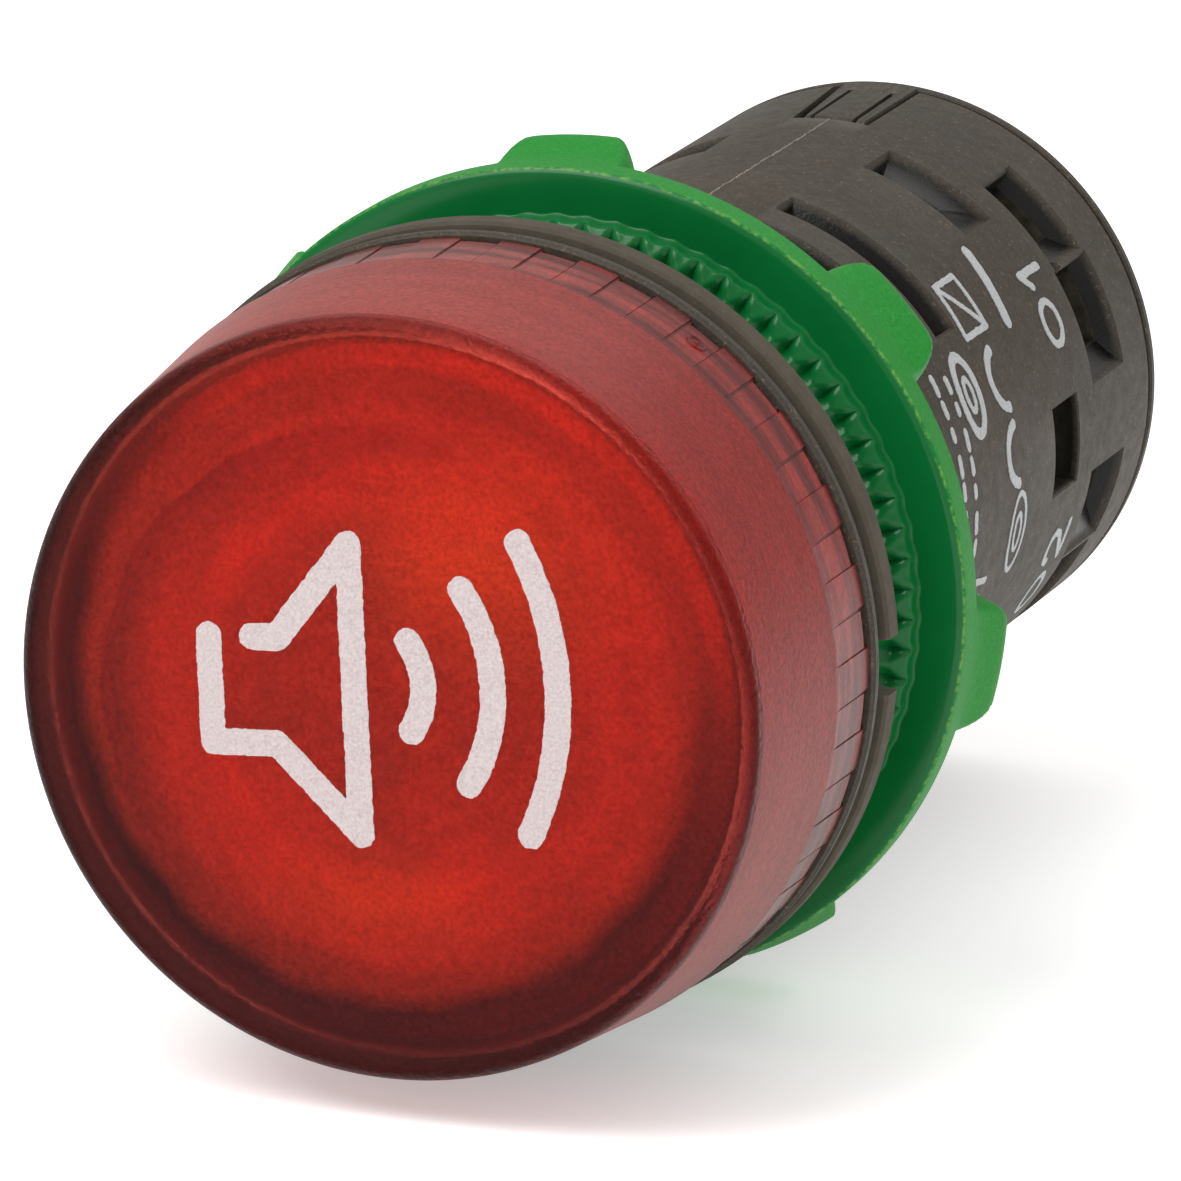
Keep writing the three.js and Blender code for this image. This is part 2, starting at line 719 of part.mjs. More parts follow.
function driverChip() {
  const { gap, thickness, front, rear, half, legs, legHalf, legPitch } = CHIP;
  const left = BOARD_RIGHT + CLEARANCE;
  const body = block([left + gap, front, -half], [left + gap + thickness, rear, half]);
  const pins = [];
  for (let i = 0; i < legs; i += 1) {
    const y = front + CHIP.legStart + legPitch * i;
    pins.push(block([left, y, -legHalf], [left + CHIP.legHeight, y + CHIP.legWidth, legHalf]));
  }
  return joined([body, ...pins]);
}

/** Round component lying along Y on the board's component face. */
function lyingCan({ radius, front, rear, z }) {
  return rod(BOARD.left - CLEARANCE - radius, z, radius, front, rear);
}

/** Round component standing on the board, turned about X. */
function standing(profile, y, z, side) {
  const points = profile.map(([radius, height]) => new THREE.Vector2(radius, height));
  const geometry = new THREE.LatheGeometry(points, SMALL_SIDES);
  const base = side > 0 ? BOARD_RIGHT + CLEARANCE : BOARD.left - CLEARANCE;
  geometry.rotateZ((-side * Math.PI) / 2).translate(base, y, z);
  return solid(geometry);
}

function boostCoil() {
  const { y, z, flange, core, height, flangeThickness } = COIL;
  return standing([
    [0, 0],
    [flange, 0],
    [flange, flangeThickness],
    [core, flangeThickness],
    [core, height - flangeThickness],
    [flange, height - flangeThickness],
    [flange, height],
    [0, height],
  ], y, z, 1);
}

function varistor() {
  const { y, z, radius, height } = VARISTOR;
  return standing([[0, 0], [radius, 0], [radius, height], [0, height]], y, z, -1);
}

// ---- Assembly -----------------------------------------------------------------------
place('lens_cap', lensCap(), 'red_lens');
place('light_diffuser', lightDiffuser(), 'milky');
place('led_board', ledBoard(), 'board_green');
for (let i = 0; i < LED.count; i += 1) {
  const [x, z] = polar(LED.ring, (360 * i) / LED.count);
  place(`led_${i + 1}`, led(), 'led_white', [x, LED_BOARD.front - CLEARANCE, z]);
}
place('piezo_ceramic_disc', wafer(CERAMIC), 'ceramic');
place('piezo_brass_disc', wafer(MEMBRANE), 'brass');
place('piezo_gasket', piezoGasket(), 'seal_rubber');
place('resonance_chamber', resonanceChamber(), 'dark_body');

place('housing_body', housingBody(), 'dark_body');
place('panel_seal', panelSeal(), 'seal_rubber');
place('nut_flange_ring', nutFlangeRing(), 'green_nut');
place('nut_lobed_hub', toothedNeck().add(lobedStar()), 'green_nut');

place('main_board', mainBoard(), 'board_green');
place('driver_chip', driverChip(), 'component_black');
place('boost_coil', boostCoil(), 'copper');
place('varistor', varistor(), 'component_blue');
place('film_capacitor', block(FILM_CAPACITOR.low, FILM_CAPACITOR.high), 'component_yellow');
place('smoothing_capacitor', lyingCan(SMOOTHING_CAPACITOR), 'aluminium');
place('rectifier', block(RECTIFIER.low, RECTIFIER.high), 'component_black');
place('dropper_resistor', lyingCan(DROPPER_RESISTOR), 'ceramic');

for (const [label, side] of [['x1', 1], ['x2', -1]]) {
  const z = side * TERMINAL_Z;
  place(`terminal_bar_${label}`, terminalBar(side), 'brass');
  place(`clamp_plate_${label}`, clampPlate(), 'steel', [TERMINAL_X, CLAMP_FRONT, z]);
  place(`terminal_screw_${label}`, terminalScrew(), 'steel', [TERMINAL_X, SCREW_HEAD_FRONT, z]);
}
place('terminal_block', terminalBlock(), 'dark_body');
place('rear_cover', rearCover(), 'dark_body');

for (const [label, side, finish] of [['pos', 1, 'wire_red'], ['neg', -1, 'wire_black']]) {
  place(`led_wire_${label}`, wire(LED_ROUTE, side, WIRE_RADIUS.led), finish);
  place(`piezo_wire_${label}`, wire(PIEZO_ROUTE, side, WIRE_RADIUS.piezo), finish);
  place(`supply_wire_${label}`, wire(SUPPLY_ROUTE, side, WIRE_RADIUS.supply), finish);
}

export default group;
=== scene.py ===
"""Looks for a panel-mount illuminated buzzer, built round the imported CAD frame.

Metres, in the row frame: +Y runs along the device's axis from the lens to the rear, +Z is up.
Lengths below are written in millimetres and turned to metres by MM. Angles round the axis are
in degrees, from +Z towards +X.
"""
import json
import math

import bmesh
import bpy
import numpy as np
from mathutils import Matrix, Vector, noise


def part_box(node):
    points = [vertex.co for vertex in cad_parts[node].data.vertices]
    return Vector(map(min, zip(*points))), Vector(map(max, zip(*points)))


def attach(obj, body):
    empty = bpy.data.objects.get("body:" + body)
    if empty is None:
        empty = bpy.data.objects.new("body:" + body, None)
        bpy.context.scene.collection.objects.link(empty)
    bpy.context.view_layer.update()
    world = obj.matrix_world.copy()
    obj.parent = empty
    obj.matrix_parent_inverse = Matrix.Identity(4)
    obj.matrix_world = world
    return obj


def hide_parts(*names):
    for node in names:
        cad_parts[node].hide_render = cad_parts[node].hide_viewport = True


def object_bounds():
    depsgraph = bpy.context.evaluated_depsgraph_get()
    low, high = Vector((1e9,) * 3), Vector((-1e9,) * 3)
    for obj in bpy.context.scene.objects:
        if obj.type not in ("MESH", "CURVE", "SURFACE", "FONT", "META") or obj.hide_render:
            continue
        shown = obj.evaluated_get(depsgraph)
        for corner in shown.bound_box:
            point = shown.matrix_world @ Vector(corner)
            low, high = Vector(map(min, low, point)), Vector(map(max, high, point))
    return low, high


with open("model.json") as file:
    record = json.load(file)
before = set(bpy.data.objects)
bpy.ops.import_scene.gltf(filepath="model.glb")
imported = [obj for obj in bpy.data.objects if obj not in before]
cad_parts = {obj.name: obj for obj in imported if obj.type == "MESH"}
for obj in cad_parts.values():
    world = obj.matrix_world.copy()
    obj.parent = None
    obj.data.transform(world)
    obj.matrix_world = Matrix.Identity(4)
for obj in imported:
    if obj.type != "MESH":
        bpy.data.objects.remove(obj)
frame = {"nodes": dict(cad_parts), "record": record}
scene = bpy.context.scene
cad_low, cad_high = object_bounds()

MM = 0.001


def near(node):
    """The two corners of a CAD node, in millimetres."""
    low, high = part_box(node)
    return low / MM, high / MM


# ---- Dimensions, taken from the CAD nodes' boxes ----
LENS_LOW, LENS_HIGH = near("lens_cap")
LENS_R = LENS_HIGH.x
LENS_FRONT = LENS_LOW.y
LENS_REAR = LENS_HIGH.y
BODY_LOW, BODY_HIGH = near("housing_body")
BODY_REAR = BODY_HIGH.y
FLANGE_R = BODY_HIGH.x
SEAL_LOW, SEAL_HIGH = near("panel_seal")
SEAL_R = -SEAL_LOW.x
RING_LOW, RING_HIGH = near("nut_flange_ring")
RING_R = RING_HIGH.x
HUB_LOW, HUB_HIGH = near("nut_lobed_hub")
COVER_HIGH = near("rear_cover")[1]
BARREL_R = COVER_HIGH.x
DIFFUSER_LOW, DIFFUSER_HIGH = near("light_diffuser")

# Dimensions that no box gives.
THREAD_FRONT, THREAD_REAR, THREAD_LEAD = 0.35, 15.7, 1.5
COVER_FRONT = 39.4
SKIN = 0.04  # how far a cutter's mouth stands clear of the barrel


# ---- Mesh helpers ----
def polar(radius, degrees, y):
    """A point in metres, from millimetres and an angle round the axis."""
    a = math.radians(degrees)
    return (radius * math.sin(a) * MM, y * MM, radius * math.cos(a) * MM)


def mesh_object(name, verts, faces):
    """An object whose faces all point outwards."""
    mesh = bpy.data.meshes.new(name)
    mesh.from_pydata(verts, [], faces)
    bm = bmesh.new()
    bm.from_mesh(mesh)
    bmesh.ops.remove_doubles(bm, verts=bm.verts, dist=1e-8)
    bmesh.ops.recalc_face_normals(bm, faces=bm.faces)
    bm.to_mesh(mesh)
    bm.free()
    obj = bpy.data.objects.new(name, mesh)
    scene.collection.objects.link(obj)
    return obj


def bands(rings, count, first=0, closed=False):
    """Quads between each ring of count vertices and the next one, from vertex first on."""
    faces = []
    for i in range(rings if closed else rings - 1):
        low, high = first + i * count, first + (i + 1) % rings * count
        for k in range(count):
            n = (k + 1) % count
            faces.append((low + k, low + n, high + n, high + k))
    return faces


def revolve(name, point, rows, angles, capped=False):
    """A surface of rows round the axis. point(row, degrees) is (radius, y). An open profile is
    capped on the axis at both ends, and any other closes on itself."""
    count = len(angles)
    inner = range(1, rows - 1) if capped else range(rows)
    verts = []
    for i in inner:
        for a in angles:
            radius, y = point(i, a)
            verts.append(polar(radius, a, y))
    layers = len(inner)
    faces = bands(layers, count, closed=not capped)
    if capped:
        for row, layer in ((0, 0), (rows - 1, layers - 1)):
            verts.append((0, point(row, 0)[1] * MM, 0))
            pole = len(verts) - 1
            for k in range(count):
                faces.append((pole, layer * count + k, layer * count + (k + 1) % count))
    return mesh_object(name, verts, faces)


def turned(name, profile, sides):
    """A solid with the same profile all the way round."""
    angles = [360 * k / sides for k in range(sides)]
    return revolve(name, lambda i, a: profile[i], len(profile), angles, capped=True)


def loft(shells, steps):
    """A cutter round the axis. Each shell is (radius, start, end, start at rear, end at rear,
    front, rear), from the innermost outwards."""
    verts = []
    for radius, start, end, rear_start, rear_end, front, rear in shells:
        for k in range(steps + 1):
            t = k / steps
            verts.append(polar(radius, start + (end - start) * t, front))
        for k in range(steps, -1, -1):
            t = k / steps
            verts.append(polar(radius, rear_start + (rear_end - rear_start) * t, rear))
    loop = 2 * (steps + 1)
    faces = bands(len(shells), loop)
    last = (len(shells) - 1) * loop
    for k in range(steps):
        a, b, c, d = k, k + 1, loop - 2 - k, loop - 1 - k
        faces.append((a, b, c, d))
        faces.append((last + a, last + b, last + c, last + d))
    return mesh_object("cutter", verts, faces)


def pocket(start, end, front, rear, floor, flare=0.16, draft=(0, 0, 0, 0)):
    """Cutter for an opening in the barrel with a flared mouth. draft narrows the floor, in
    degrees at the start and end and in millimetres at the front and rear."""
    steps = max(4, int((end - start) / 1.5))
    turn = math.degrees(flare / BARREL_R)

    def shell(radius, start_in, end_in, front_in, rear_in):
        ends = (start + start_in, end - end_in)
        return (radius, *ends, *ends, front + front_in, rear - rear_in)

    mouth = (-turn, -turn, -flare, -flare)
    return loft([shell(floor, *draft), shell(BARREL_R - flare, 0, 0, 0, 0),
                 shell(BARREL_R + SKIN, *mouth), shell(BARREL_R + 1, *mouth)], steps)


def combine(obj, tools, operation="DIFFERENCE"):
    """Cuts the tools out of an object's mesh, or joins them to it, and removes them."""
    for tool in tools:
        cut = obj.modifiers.new("cut", "BOOLEAN")
        cut.operation = operation
        cut.object = tool
        cut.solver = "MANIFOLD"
    whole = obj.evaluated_get(bpy.context.evaluated_depsgraph_get())
    old, obj.data = obj.data, bpy.data.meshes.new_from_object(whole)
    obj.modifiers.clear()
    bpy.data.meshes.remove(old)
    for tool in tools:
        bpy.data.objects.remove(tool)


def store(obj, name, values):
    """One number for each vertex, which a material reads by its name."""
    attribute = obj.data.attributes.new(name, "FLOAT", "POINT")
    attribute.data.foreach_set("value", values.astype(np.float32))


def mark_wear(obj, reach):
    """Stores how strongly each vertex sticks out from its neighbours, for worn edges."""
    bm = bmesh.new()
    bm.from_mesh(obj.data)
    bm.normal_update()
    values = np.zeros(len(bm.verts))
    for i, v in enumerate(bm.verts):
        steepest = 0
        for e in v.link_edges:
            away = e.other_vert(v).co - v.co
            if away.length > 1e-9:
                steepest = max(steepest, -away.normalized().dot(v.normal))
        values[i] = max(0, min(1, (steepest - reach) / (1 - reach)))
    bm.free()
    store(obj, "wear", values)


# ---- Material helpers ----
class Look:
    """A node material with one Principled shader, built from object coordinates."""

    def __init__(self, name, roughness=0.5, metallic=0, ior=1.5, specular=0.5):
        self.material = bpy.data.materials.new(name)
        self.material.use_nodes = True
        self.tree = self.material.node_tree
        self.shader = self.tree.nodes["Principled BSDF"]
        self.set(Metallic=metallic, Roughness=roughness, IOR=ior, Specular_IOR_Level=specular)
        self.place = self.add("ShaderNodeTexCoord").outputs["Object"]

    def add(self, kind, **values):
        node = self.tree.nodes.new(kind)
        for key, value in values.items():
            setattr(node, key, value)
        return node

    def link(self, source, target):
        self.tree.links.new(source, target)

    def set(self, **values):
        for key, value in values.items():
            self.shader.inputs[key.replace("_", " ")].default_value = value

    def noise(self, size, detail=2, rough=0.5, stretch=None, source=None):
        """Noise whose features are about size millimetres across."""
        node = self.add("ShaderNodeTexNoise")
        node.inputs["Scale"].default_value = 1 / (size * MM)
        node.inputs["Detail"].default_value = detail
        node.inputs["Roughness"].default_value = rough
        source = source or self.place
        if stretch:
            scale = self.add("ShaderNodeVectorMath", operation="MULTIPLY")
            scale.inputs[1].default_value = stretch
            self.link(source, scale.inputs[0])
            source = scale.outputs[0]
        self.link(source, node.inputs["Vector"])
        return node.outputs["Fac"]

    def ramp(self, value, *stops):
        """Colour ramp: stops are (position, grey or colour)."""
        node = self.add("ShaderNodeValToRGB")
        elements = node.color_ramp.elements
        while len(elements) < len(stops):
            elements.new(0.5)
        for element, (position, colour) in zip(elements, stops):
            element.position = position
            rgb = colour if hasattr(colour, "__len__") else (colour,) * 3
            element.color = (*rgb, 1)
        self.link(value, node.inputs["Fac"])
        return node.outputs["Color"]

    def mix(self, share, a, b, kind="MIX"):
        """Colour mix: a and b are sockets or colours, share a socket or a number."""
        node = self.add("ShaderNodeMix", data_type="RGBA", blend_type=kind)
        for socket, value in ((node.inputs[0], share), (node.inputs[6], a), (node.inputs[7], b)):
            if isinstance(value, bpy.types.NodeSocket):
                self.link(value, socket)
            elif hasattr(value, "__len__"):
                socket.default_value = (*value, 1)
            else:
                socket.default_value = value
        return node.outputs[2]

    def tinted(self, colour, tone, share=1):
        """A colour multiplied by a tone."""
        return self.mix(share, colour, tone, "MULTIPLY")

    def math(self, operation, a, b=0):
        node = self.add("ShaderNodeMath", operation=operation)
        for socket, value in zip(node.inputs, (a, b)):
            if isinstance(value, bpy.types.NodeSocket):
                self.link(value, socket)
            else:
                socket.default_value = value
        return node.outputs[0]

    def plus(self, a, b):
        return self.math("ADD", a, b)

    def times(self, a, b):
        return self.math("MULTIPLY", a, b)

    def over(self, a, b):
        return self.math("DIVIDE", a, b)

    def glow(self, x, z, squeeze, *stops):
        """A patch round a line beside the axis. Its stops are in centimetres from the line."""
        return self.ramp(self.over(self.radius(x, z, squeeze), 10), *stops)

    def attribute(self, name):
        return self.add("ShaderNodeAttribute", attribute_name=name).outputs["Fac"]

    def axis(self, letter):
        """One object coordinate, in millimetres."""
        split = self.add("ShaderNodeSeparateXYZ")
        self.link(self.place, split.inputs[0])
        return self.over(split.outputs[letter], MM)

    def radius(self, x=0, z=0, squeeze=1):
        """Distance from the device's axis, or from a line beside it, in millimetres."""
        x = self.times(self.math("SUBTRACT", self.axis("X"), x), squeeze)
        z = self.math("SUBTRACT", self.axis("Z"), z)
        return self.math("SQRT", self.plus(self.times(x, x), self.times(z, z)))

    def facing(self, degrees):
        """1 on the side of the axis at this angle, 0 on the opposite side."""
        a = math.radians(degrees)
        x = self.times(self.axis("X"), math.sin(a))
        z = self.times(self.axis("Z"), math.cos(a))
        share = self.over(self.plus(x, z), self.plus(self.radius(), 0.01))
        return self.plus(self.times(share, 0.5), 0.5)

    def arcs(self):
        """Noise drawn out along circles round the axis."""
        join = self.add("ShaderNodeCombineXYZ")
        turn = self.math("ARCTAN2", self.axis("X"), self.axis("Z"))
        self.link(self.times(self.radius(), 0.9 * MM), join.inputs[0])
        self.link(self.times(self.math("SINE", turn), 2.2 * MM), join.inputs[1])
        self.link(self.times(self.math("COSINE", turn), 2.2 * MM), join.inputs[2])
        return self.noise(1, detail=3, rough=0.55, source=join.outputs[0])

    def colour(self, socket):
        self.link(socket, self.shader.inputs["Base Color"])

    def rough(self, socket):
        self.link(socket, self.shader.inputs["Roughness"])

    def bump(self, *layers):
        """Bump layers, each a height socket and its depth in millimetres."""
        normal = None
        for height, depth in layers:
            node = self.add("ShaderNodeBump")
            node.inputs["Strength"].default_value = 1
            node.inputs["Distance"].default_value = depth * MM
            self.link(height, node.inputs["Height"])
            if normal is not None:
                self.link(normal, node.inputs["Normal"])
            normal = node.outputs["Normal"]
        self.link(normal, self.shader.inputs["Normal"])


def grey(value):
    """A neutral colour."""
    return (value, value, value)


def lens_face_look():
    """Tinted polycarbonate with a pebbled surface. Its colour carries painted shade and light: dark rings
    inside the rim, painted shade on the grainy crease, a darker inner wall, and two painted highlights.
    """
    span = 14.5  # the radius, in millimetres, that is 1 on the ramps below
    look = Look("lens_face", ior=1.49)
    look.set(Transmission_Weight=0.9, Specular_Tint=(0.12, 0.12, 0.12, 1))
    r = look.over(look.radius(), span)
    # Painted shade: a dark ring inside the rim round a centre set off the axis, faded out towards the top and
    # darkest on the left, and a dark inner ring that is also faded by direction.
    wander = look.times(look.noise(3, detail=3), 0.9)
    outer = look.over(look.plus(look.radius(0, 0.5), wander), span)
    groove = look.over(look.plus(look.radius(-0.35, -0.35), wander), span)
    ring = look.ramp(outer, (0.775, 0), (0.83, 1), (0.93, 0.9))
    fade = look.ramp(look.facing(20), (0, 1), (0.45, 0.85), (0.7, 0.5), (0.85, 0.15), (0.93, 0))
    inner = look.ramp(groove, (0.56, 0), (0.66, 0.35), (0.705, 0.65), (0.722, 0.85), (0.732, 0))
    inner_ring_shade_fade = look.ramp(look.facing(295), (0, 0.25), (0.25, 0), (0.55, 0.3), (0.9, 1))
    left = look.ramp(look.facing(105), (0.1, 1), (0.45, 0))
    dark = look.mix(left, (0.2, 0.034, 0.036), (0.1, 0.017, 0.018))
    face = look.mix(look.times(ring, fade), (0.88, 0.088, 0.05), dark)
    face = look.mix(look.times(inner, inner_ring_shade_fade), face, (0.52, 0.05, 0.04))
    # Painted highlights: two bright patches on the face, one above and right of the centre and one low.
    high = look.glow(3.3, 5.2, 0.8, (0, 1), (0.2, 0.6), (0.5, 0))
    low = look.glow(-0.4, -7, 0.45, (0, 0.6), (0.25, 0))
    patchy = look.ramp(look.noise(1.3, detail=3), (0.3, 0.5), (0.7, 1))
    face = look.mix(look.times(look.plus(high, low), patchy), face, (1, 0.17, 0.05))
    # Painted shade on the grainy crease: lighter towards the top and darkest on the left.
    crease_shade_fade = look.ramp(look.facing(10), (0.5, 1), (0.95, 0.55))
    rim = look.times(look.ramp(r, (0.88, 0), (0.91, 1)), crease_shade_fade)
    face = look.mix(rim, face, look.mix(left, (0.25, 0.026, 0.024), (0.08, 0.013, 0.014)))
    # Painted shade: the inner wall of the cup is tinted darker.
    inside = look.math("GREATER_THAN", look.axis("Y"), LENS_FRONT + 2)
    face = look.mix(inside, face, (0.5, 0.03, 0.02))
    grain = look.ramp(look.noise(0.2, detail=3, rough=0.8), (0.35, 0.62), (0.65, 1.3))
    look.colour(look.tinted(face, grain, 0.75))
    look.rough(look.ramp(r, (0, 0.2), (0.9, 0.22), (0.92, 0.42)))
    coarse = look.ramp(r, (0.85, 1.1), (0.895, 1.3), (0.91, 3.4))
    fine = look.times(look.noise(0.17, detail=2), coarse)
    look.bump((look.noise(0.5, detail=1), 0.02), (fine, 0.018))
    return look.material


def lens_side_look():
    """The lens's side: a frosted band, then a smoother one with the sound outlets and painted dark streaks of
    internal reflection, with painted shade on the upper and lower right and along the crease and the step.
    """
    look = Look("lens_side", ior=1.49)
    look.set(Transmission_Weight=0.7, Specular_Tint=(0.22, 0.22, 0.22, 1))
    side_front, side_length = -12.3, 9.65
    along = look.over(look.math("SUBTRACT", look.axis("Y"), side_front), side_length)
    side = look.ramp(along, (0, (0.6, 0.08, 0.065)), (0.2, (0.74, 0.12, 0.1)), (0.66, (0.68, 0.11, 0.09)),
                     (0.71, (0.52, 0.085, 0.07)), (1, (0.46, 0.085, 0.07)))
    # Painted shade: a darker, deeper red on the upper right, and the lower right darkened.
    side = look.mix(look.ramp(look.facing(62), (0.78, 0), (0.96, 0.85)), side, (0.58, 0.04, 0.032))
    shaded = look.ramp(look.facing(150), (0.55, 0), (0.9, 1))
    side = look.mix(shaded, side, look.tinted(side, grey(0.74)))
    # Painted reflection: dark streaks along the axis on the band with the outlets.
    reflection_streaks = look.ramp(look.noise(0.8, detail=2, stretch=(0.1, 1, 0.1)), (0.4, 0.35), (0.6, 1.25))
    band = look.ramp(along, (0.685, 0.12), (0.72, 0.9))
    colour = look.mix(band, side, look.tinted(side, reflection_streaks))
    colour = look.mix(look.times(look.attribute("line"), 0.7), colour, (0.1, 0.012, 0.012))
    # Painted shade: darker lines just behind the crease and at the step.
    lines = look.ramp(along, (0, 0.3), (0.012, 0.4), (0.03, 1), (0.665, 1), (0.68, 0.45),
                      (0.695, 0.5), (0.71, 1))
    grain = look.ramp(look.noise(0.2, detail=3, rough=0.8), (0.35, 0.6), (0.65, 1.3))
    look.colour(look.tinted(look.tinted(colour, lines), grain, 0.7))
    look.rough(look.ramp(along, (0, 0.4), (0.67, 0.42), (0.71, 0.34), (1, 0.32)))
    coarse = look.ramp(along, (0, 2.6), (0.03, 1.3), (0.65, 1.1), (0.68, 2.2), (0.71, 0.25))
    fine = look.times(look.noise(0.17, detail=2), coarse)
    look.bump((look.noise(0.5, detail=1), 0.018), (fine, 0.02))
    return look.material


def diffuser_look():
    """Milky plate whose light falls off in soft rings, with a hot spot above the centre."""
    span = 14  # the radius, in millimetres, that is 1 on the rings' ramp
    look = Look("diffuser_milky", roughness=0.5)
    rings = look.ramp(look.over(look.radius(), span), (0, 0.7), (0.2, 0.6), (0.36, 0.64), (0.5, 0.82),
                      (0.62, 0.74), (0.73, 0.7), (0.75, 0.5), (0.81, 0.55), (0.838, 0.85), (0.88, 0.8),
                      (0.9, 0.3))
    blotch = look.ramp(look.arcs(), (0.34, 0.72), (0.64, 1.1))
    hot = look.glow(2.6, 4.6, 0.8, (0, 1), (0.2, 0.5), (0.6, 0))
    look.colour(look.mix(hot, look.tinted(rings, blotch), grey(1)))
    look.rough(look.ramp(look.noise(0.8), (0.3, 0.4), (0.7, 0.6)))
    look.bump((look.noise(0.8), 0.02))
    return look.material


def body_look(name="body_plastic", base=(0.037, 0.0305, 0.0235)):
    """Dark moulded plastic: fine grain, faint brown mottling, dust, paler worn edges, and painted
    shade deep in the pockets of the plain part of the barrel."""
    look = Look(name, specular=0.22)
    grain = look.ramp(look.noise(0.12, detail=1), (0.3, 0.72), (0.72, 1.28))
    warm = look.mix(look.ramp(look.noise(7, detail=1), (0.4, 0), (0.7, 0.6)), base, (0.052, 0.038, 0.026))
    colour = look.tinted(warm, grain)
    dust = look.ramp(look.noise(0.18, detail=2, rough=0.7), (0.62, 0), (0.69, 0.8))
    colour = look.mix(dust, colour, (0.13, 0.1, 0.065))
    y = look.axis("Y")
    behind_thread = look.math("GREATER_THAN", y, THREAD_REAR + 0.3)
    plain = look.times(behind_thread, look.math("LESS_THAN", y, COVER_FRONT - 0.4))
    # Painted shade: in the plain part of the barrel, surfaces below the barrel's radius are darkened, darkest
    # on the pockets' floors and walls.
    pocket_shade = look.ramp(look.over(look.radius(), BARREL_R), (0.85, 0.02), (0.88, 0.07), (0.97, 0.1), (0.99, 1))
    pocket_shade = look.mix(plain, grey(1), pocket_shade)
    colour = look.tinted(colour, pocket_shade)
    wear = look.times(look.attribute("wear"), look.noise(0.5, detail=3))
    look.colour(look.mix(look.times(wear, 0.9), colour, (0.17, 0.15, 0.12)))
    rough = look.ramp(look.noise(0.6, detail=3), (0.3, 0.52), (0.7, 0.64))
    look.rough(look.mix(look.ramp(pocket_shade, (0.3, 1), (0.9, 0)), rough, grey(0.25)))
    look.bump((look.noise(0.09, detail=2), 0.01), (look.noise(0.45, detail=3), 0.012))
    return look.material


def nut_look():
    """Green polyamide: polished on the front, blasted and paler on the rim and lobes."""
    look = Look("nut_green", specular=0.22)
    blasted = look.attribute("blasted")
    cloud = look.noise(4, detail=2)
    polished = look.ramp(cloud, (0.3, (0.002, 0.115, 0.024)), (0.7, (0.003, 0.135, 0.029)))
    speck = look.noise(0.16, detail=3, rough=0.7)
    matte = look.ramp(speck, (0.3, (0.006, 0.175, 0.016)), (0.6, (0.012, 0.215, 0.024)),
                      (0.8, (0.05, 0.28, 0.045)))
    # A paler band along the flange's rounded front edge, broken by chip noise: partly a worn edge, partly a
    # painted highlight on the rounding.
    chips_and_glint = look.ramp(look.noise(0.22, detail=3), (0.42, 0), (0.62, 0.75))
    wear = look.times(look.attribute("edge"), chips_and_glint)
    look.colour(look.mix(wear, look.mix(blasted, polished, matte), (0.2, 0.38, 0.09)))
    look.rough(look.ramp(blasted, (0, 0.2), (1, 0.55)))
    fine = look.times(look.noise(0.12, detail=2), blasted)
    look.bump((fine, 0.022), (look.noise(1.6, detail=1), 0.012))
    return look.material


def rubber_look():
    """Worn matt rubber with dust."""
    look = Look("seal_rubber", specular=0.15)
    cloud = look.noise(1.2, detail=4, rough=0.7)
    colour = look.ramp(cloud, (0.3, (0.06, 0.05, 0.037)), (0.7, (0.082, 0.07, 0.053)))
    dust = look.ramp(look.noise(0.16, detail=3), (0.62, 0), (0.76, 0.6))
    colour = look.mix(dust, colour, (0.12, 0.105, 0.08))
    wear = look.times(look.attribute("wear"), 0.35)
    look.colour(look.mix(wear, colour, (0.17, 0.155, 0.12)))
    look.rough(look.ramp(look.noise(0.4, detail=2), (0.3, 0.68), (0.7, 0.85)))
    look.bump((look.noise(0.12, detail=2), 0.012))
    return look.material


def print_look(name, *tones):
    """Ink in three tones, darkest first."""
    look = Look(name, roughness=0.6)
    grain = look.noise(0.11, detail=3, rough=0.75)
    look.colour(look.ramp(grain, *zip((0.3, 0.5, 0.7), tones)))
    look.rough(look.ramp(look.noise(0.3), (0.3, 0.5), (0.7, 0.7)))
    look.bump((grain, 0.02))
    return look.material


def moulded_look(name, dark, light, roughness, size=0.5, depth=0.01, metallic=0, stretch=None):
    """A general material: two tones of one colour in noise, with matching roughness and bump."""
    look = Look(name, metallic=metallic)
    tone = look.noise(size, detail=3, stretch=stretch)
    look.colour(look.ramp(tone, (0.3, dark), (0.7, light)))
    look.rough(look.ramp(look.noise(size * 0.7, detail=2, stretch=stretch),
                         (0.3, roughness * 0.85), (0.7, min(1, roughness * 1.15))))
    look.bump((look.noise(size * 0.3, detail=2, stretch=stretch), depth))
    return look.material


def board_look():
    """Solder mask with a faint pattern of tracks."""
    look = Look("circuit_board", roughness=0.35)
    brick = look.add("ShaderNodeTexBrick")
    for key, value in {"Scale": 420, "Mortar Size": 0.06, "Brick Width": 1.4, "Row Height": 0.5}.items():
        brick.inputs[key].default_value = value
    swap = look.add("ShaderNodeMapping")
    swap.inputs["Rotation"].default_value = (math.radians(90), 0, math.radians(90))
    look.link(look.place, swap.inputs["Vector"])
    look.link(swap.outputs["Vector"], brick.inputs["Vector"])
    tracks = look.ramp(brick.outputs["Fac"], (0, (0.012, 0.075, 0.03)), (1, (0.03, 0.15, 0.06)))
    look.colour(tracks)
    look.rough(look.ramp(look.noise(1), (0.3, 0.3), (0.7, 0.42)))
    look.bump((brick.outputs["Fac"], 0.02))
    return look.material


LENS_FACE = lens_face_look()
LENS_SIDE = lens_side_look()
BODY = body_look()
GREEN = nut_look()
RUBBER = rubber_look()
INK = print_look("white_ink", (0.4, 0.33, 0.335), (0.51, 0.435, 0.435), (0.58, 0.52, 0.52))
PALE_INK = print_look("grey_ink", (0.3, 0.31, 0.32), (0.38, 0.39, 0.4), (0.47, 0.48, 0.49))
DIFFUSER = diffuser_look()
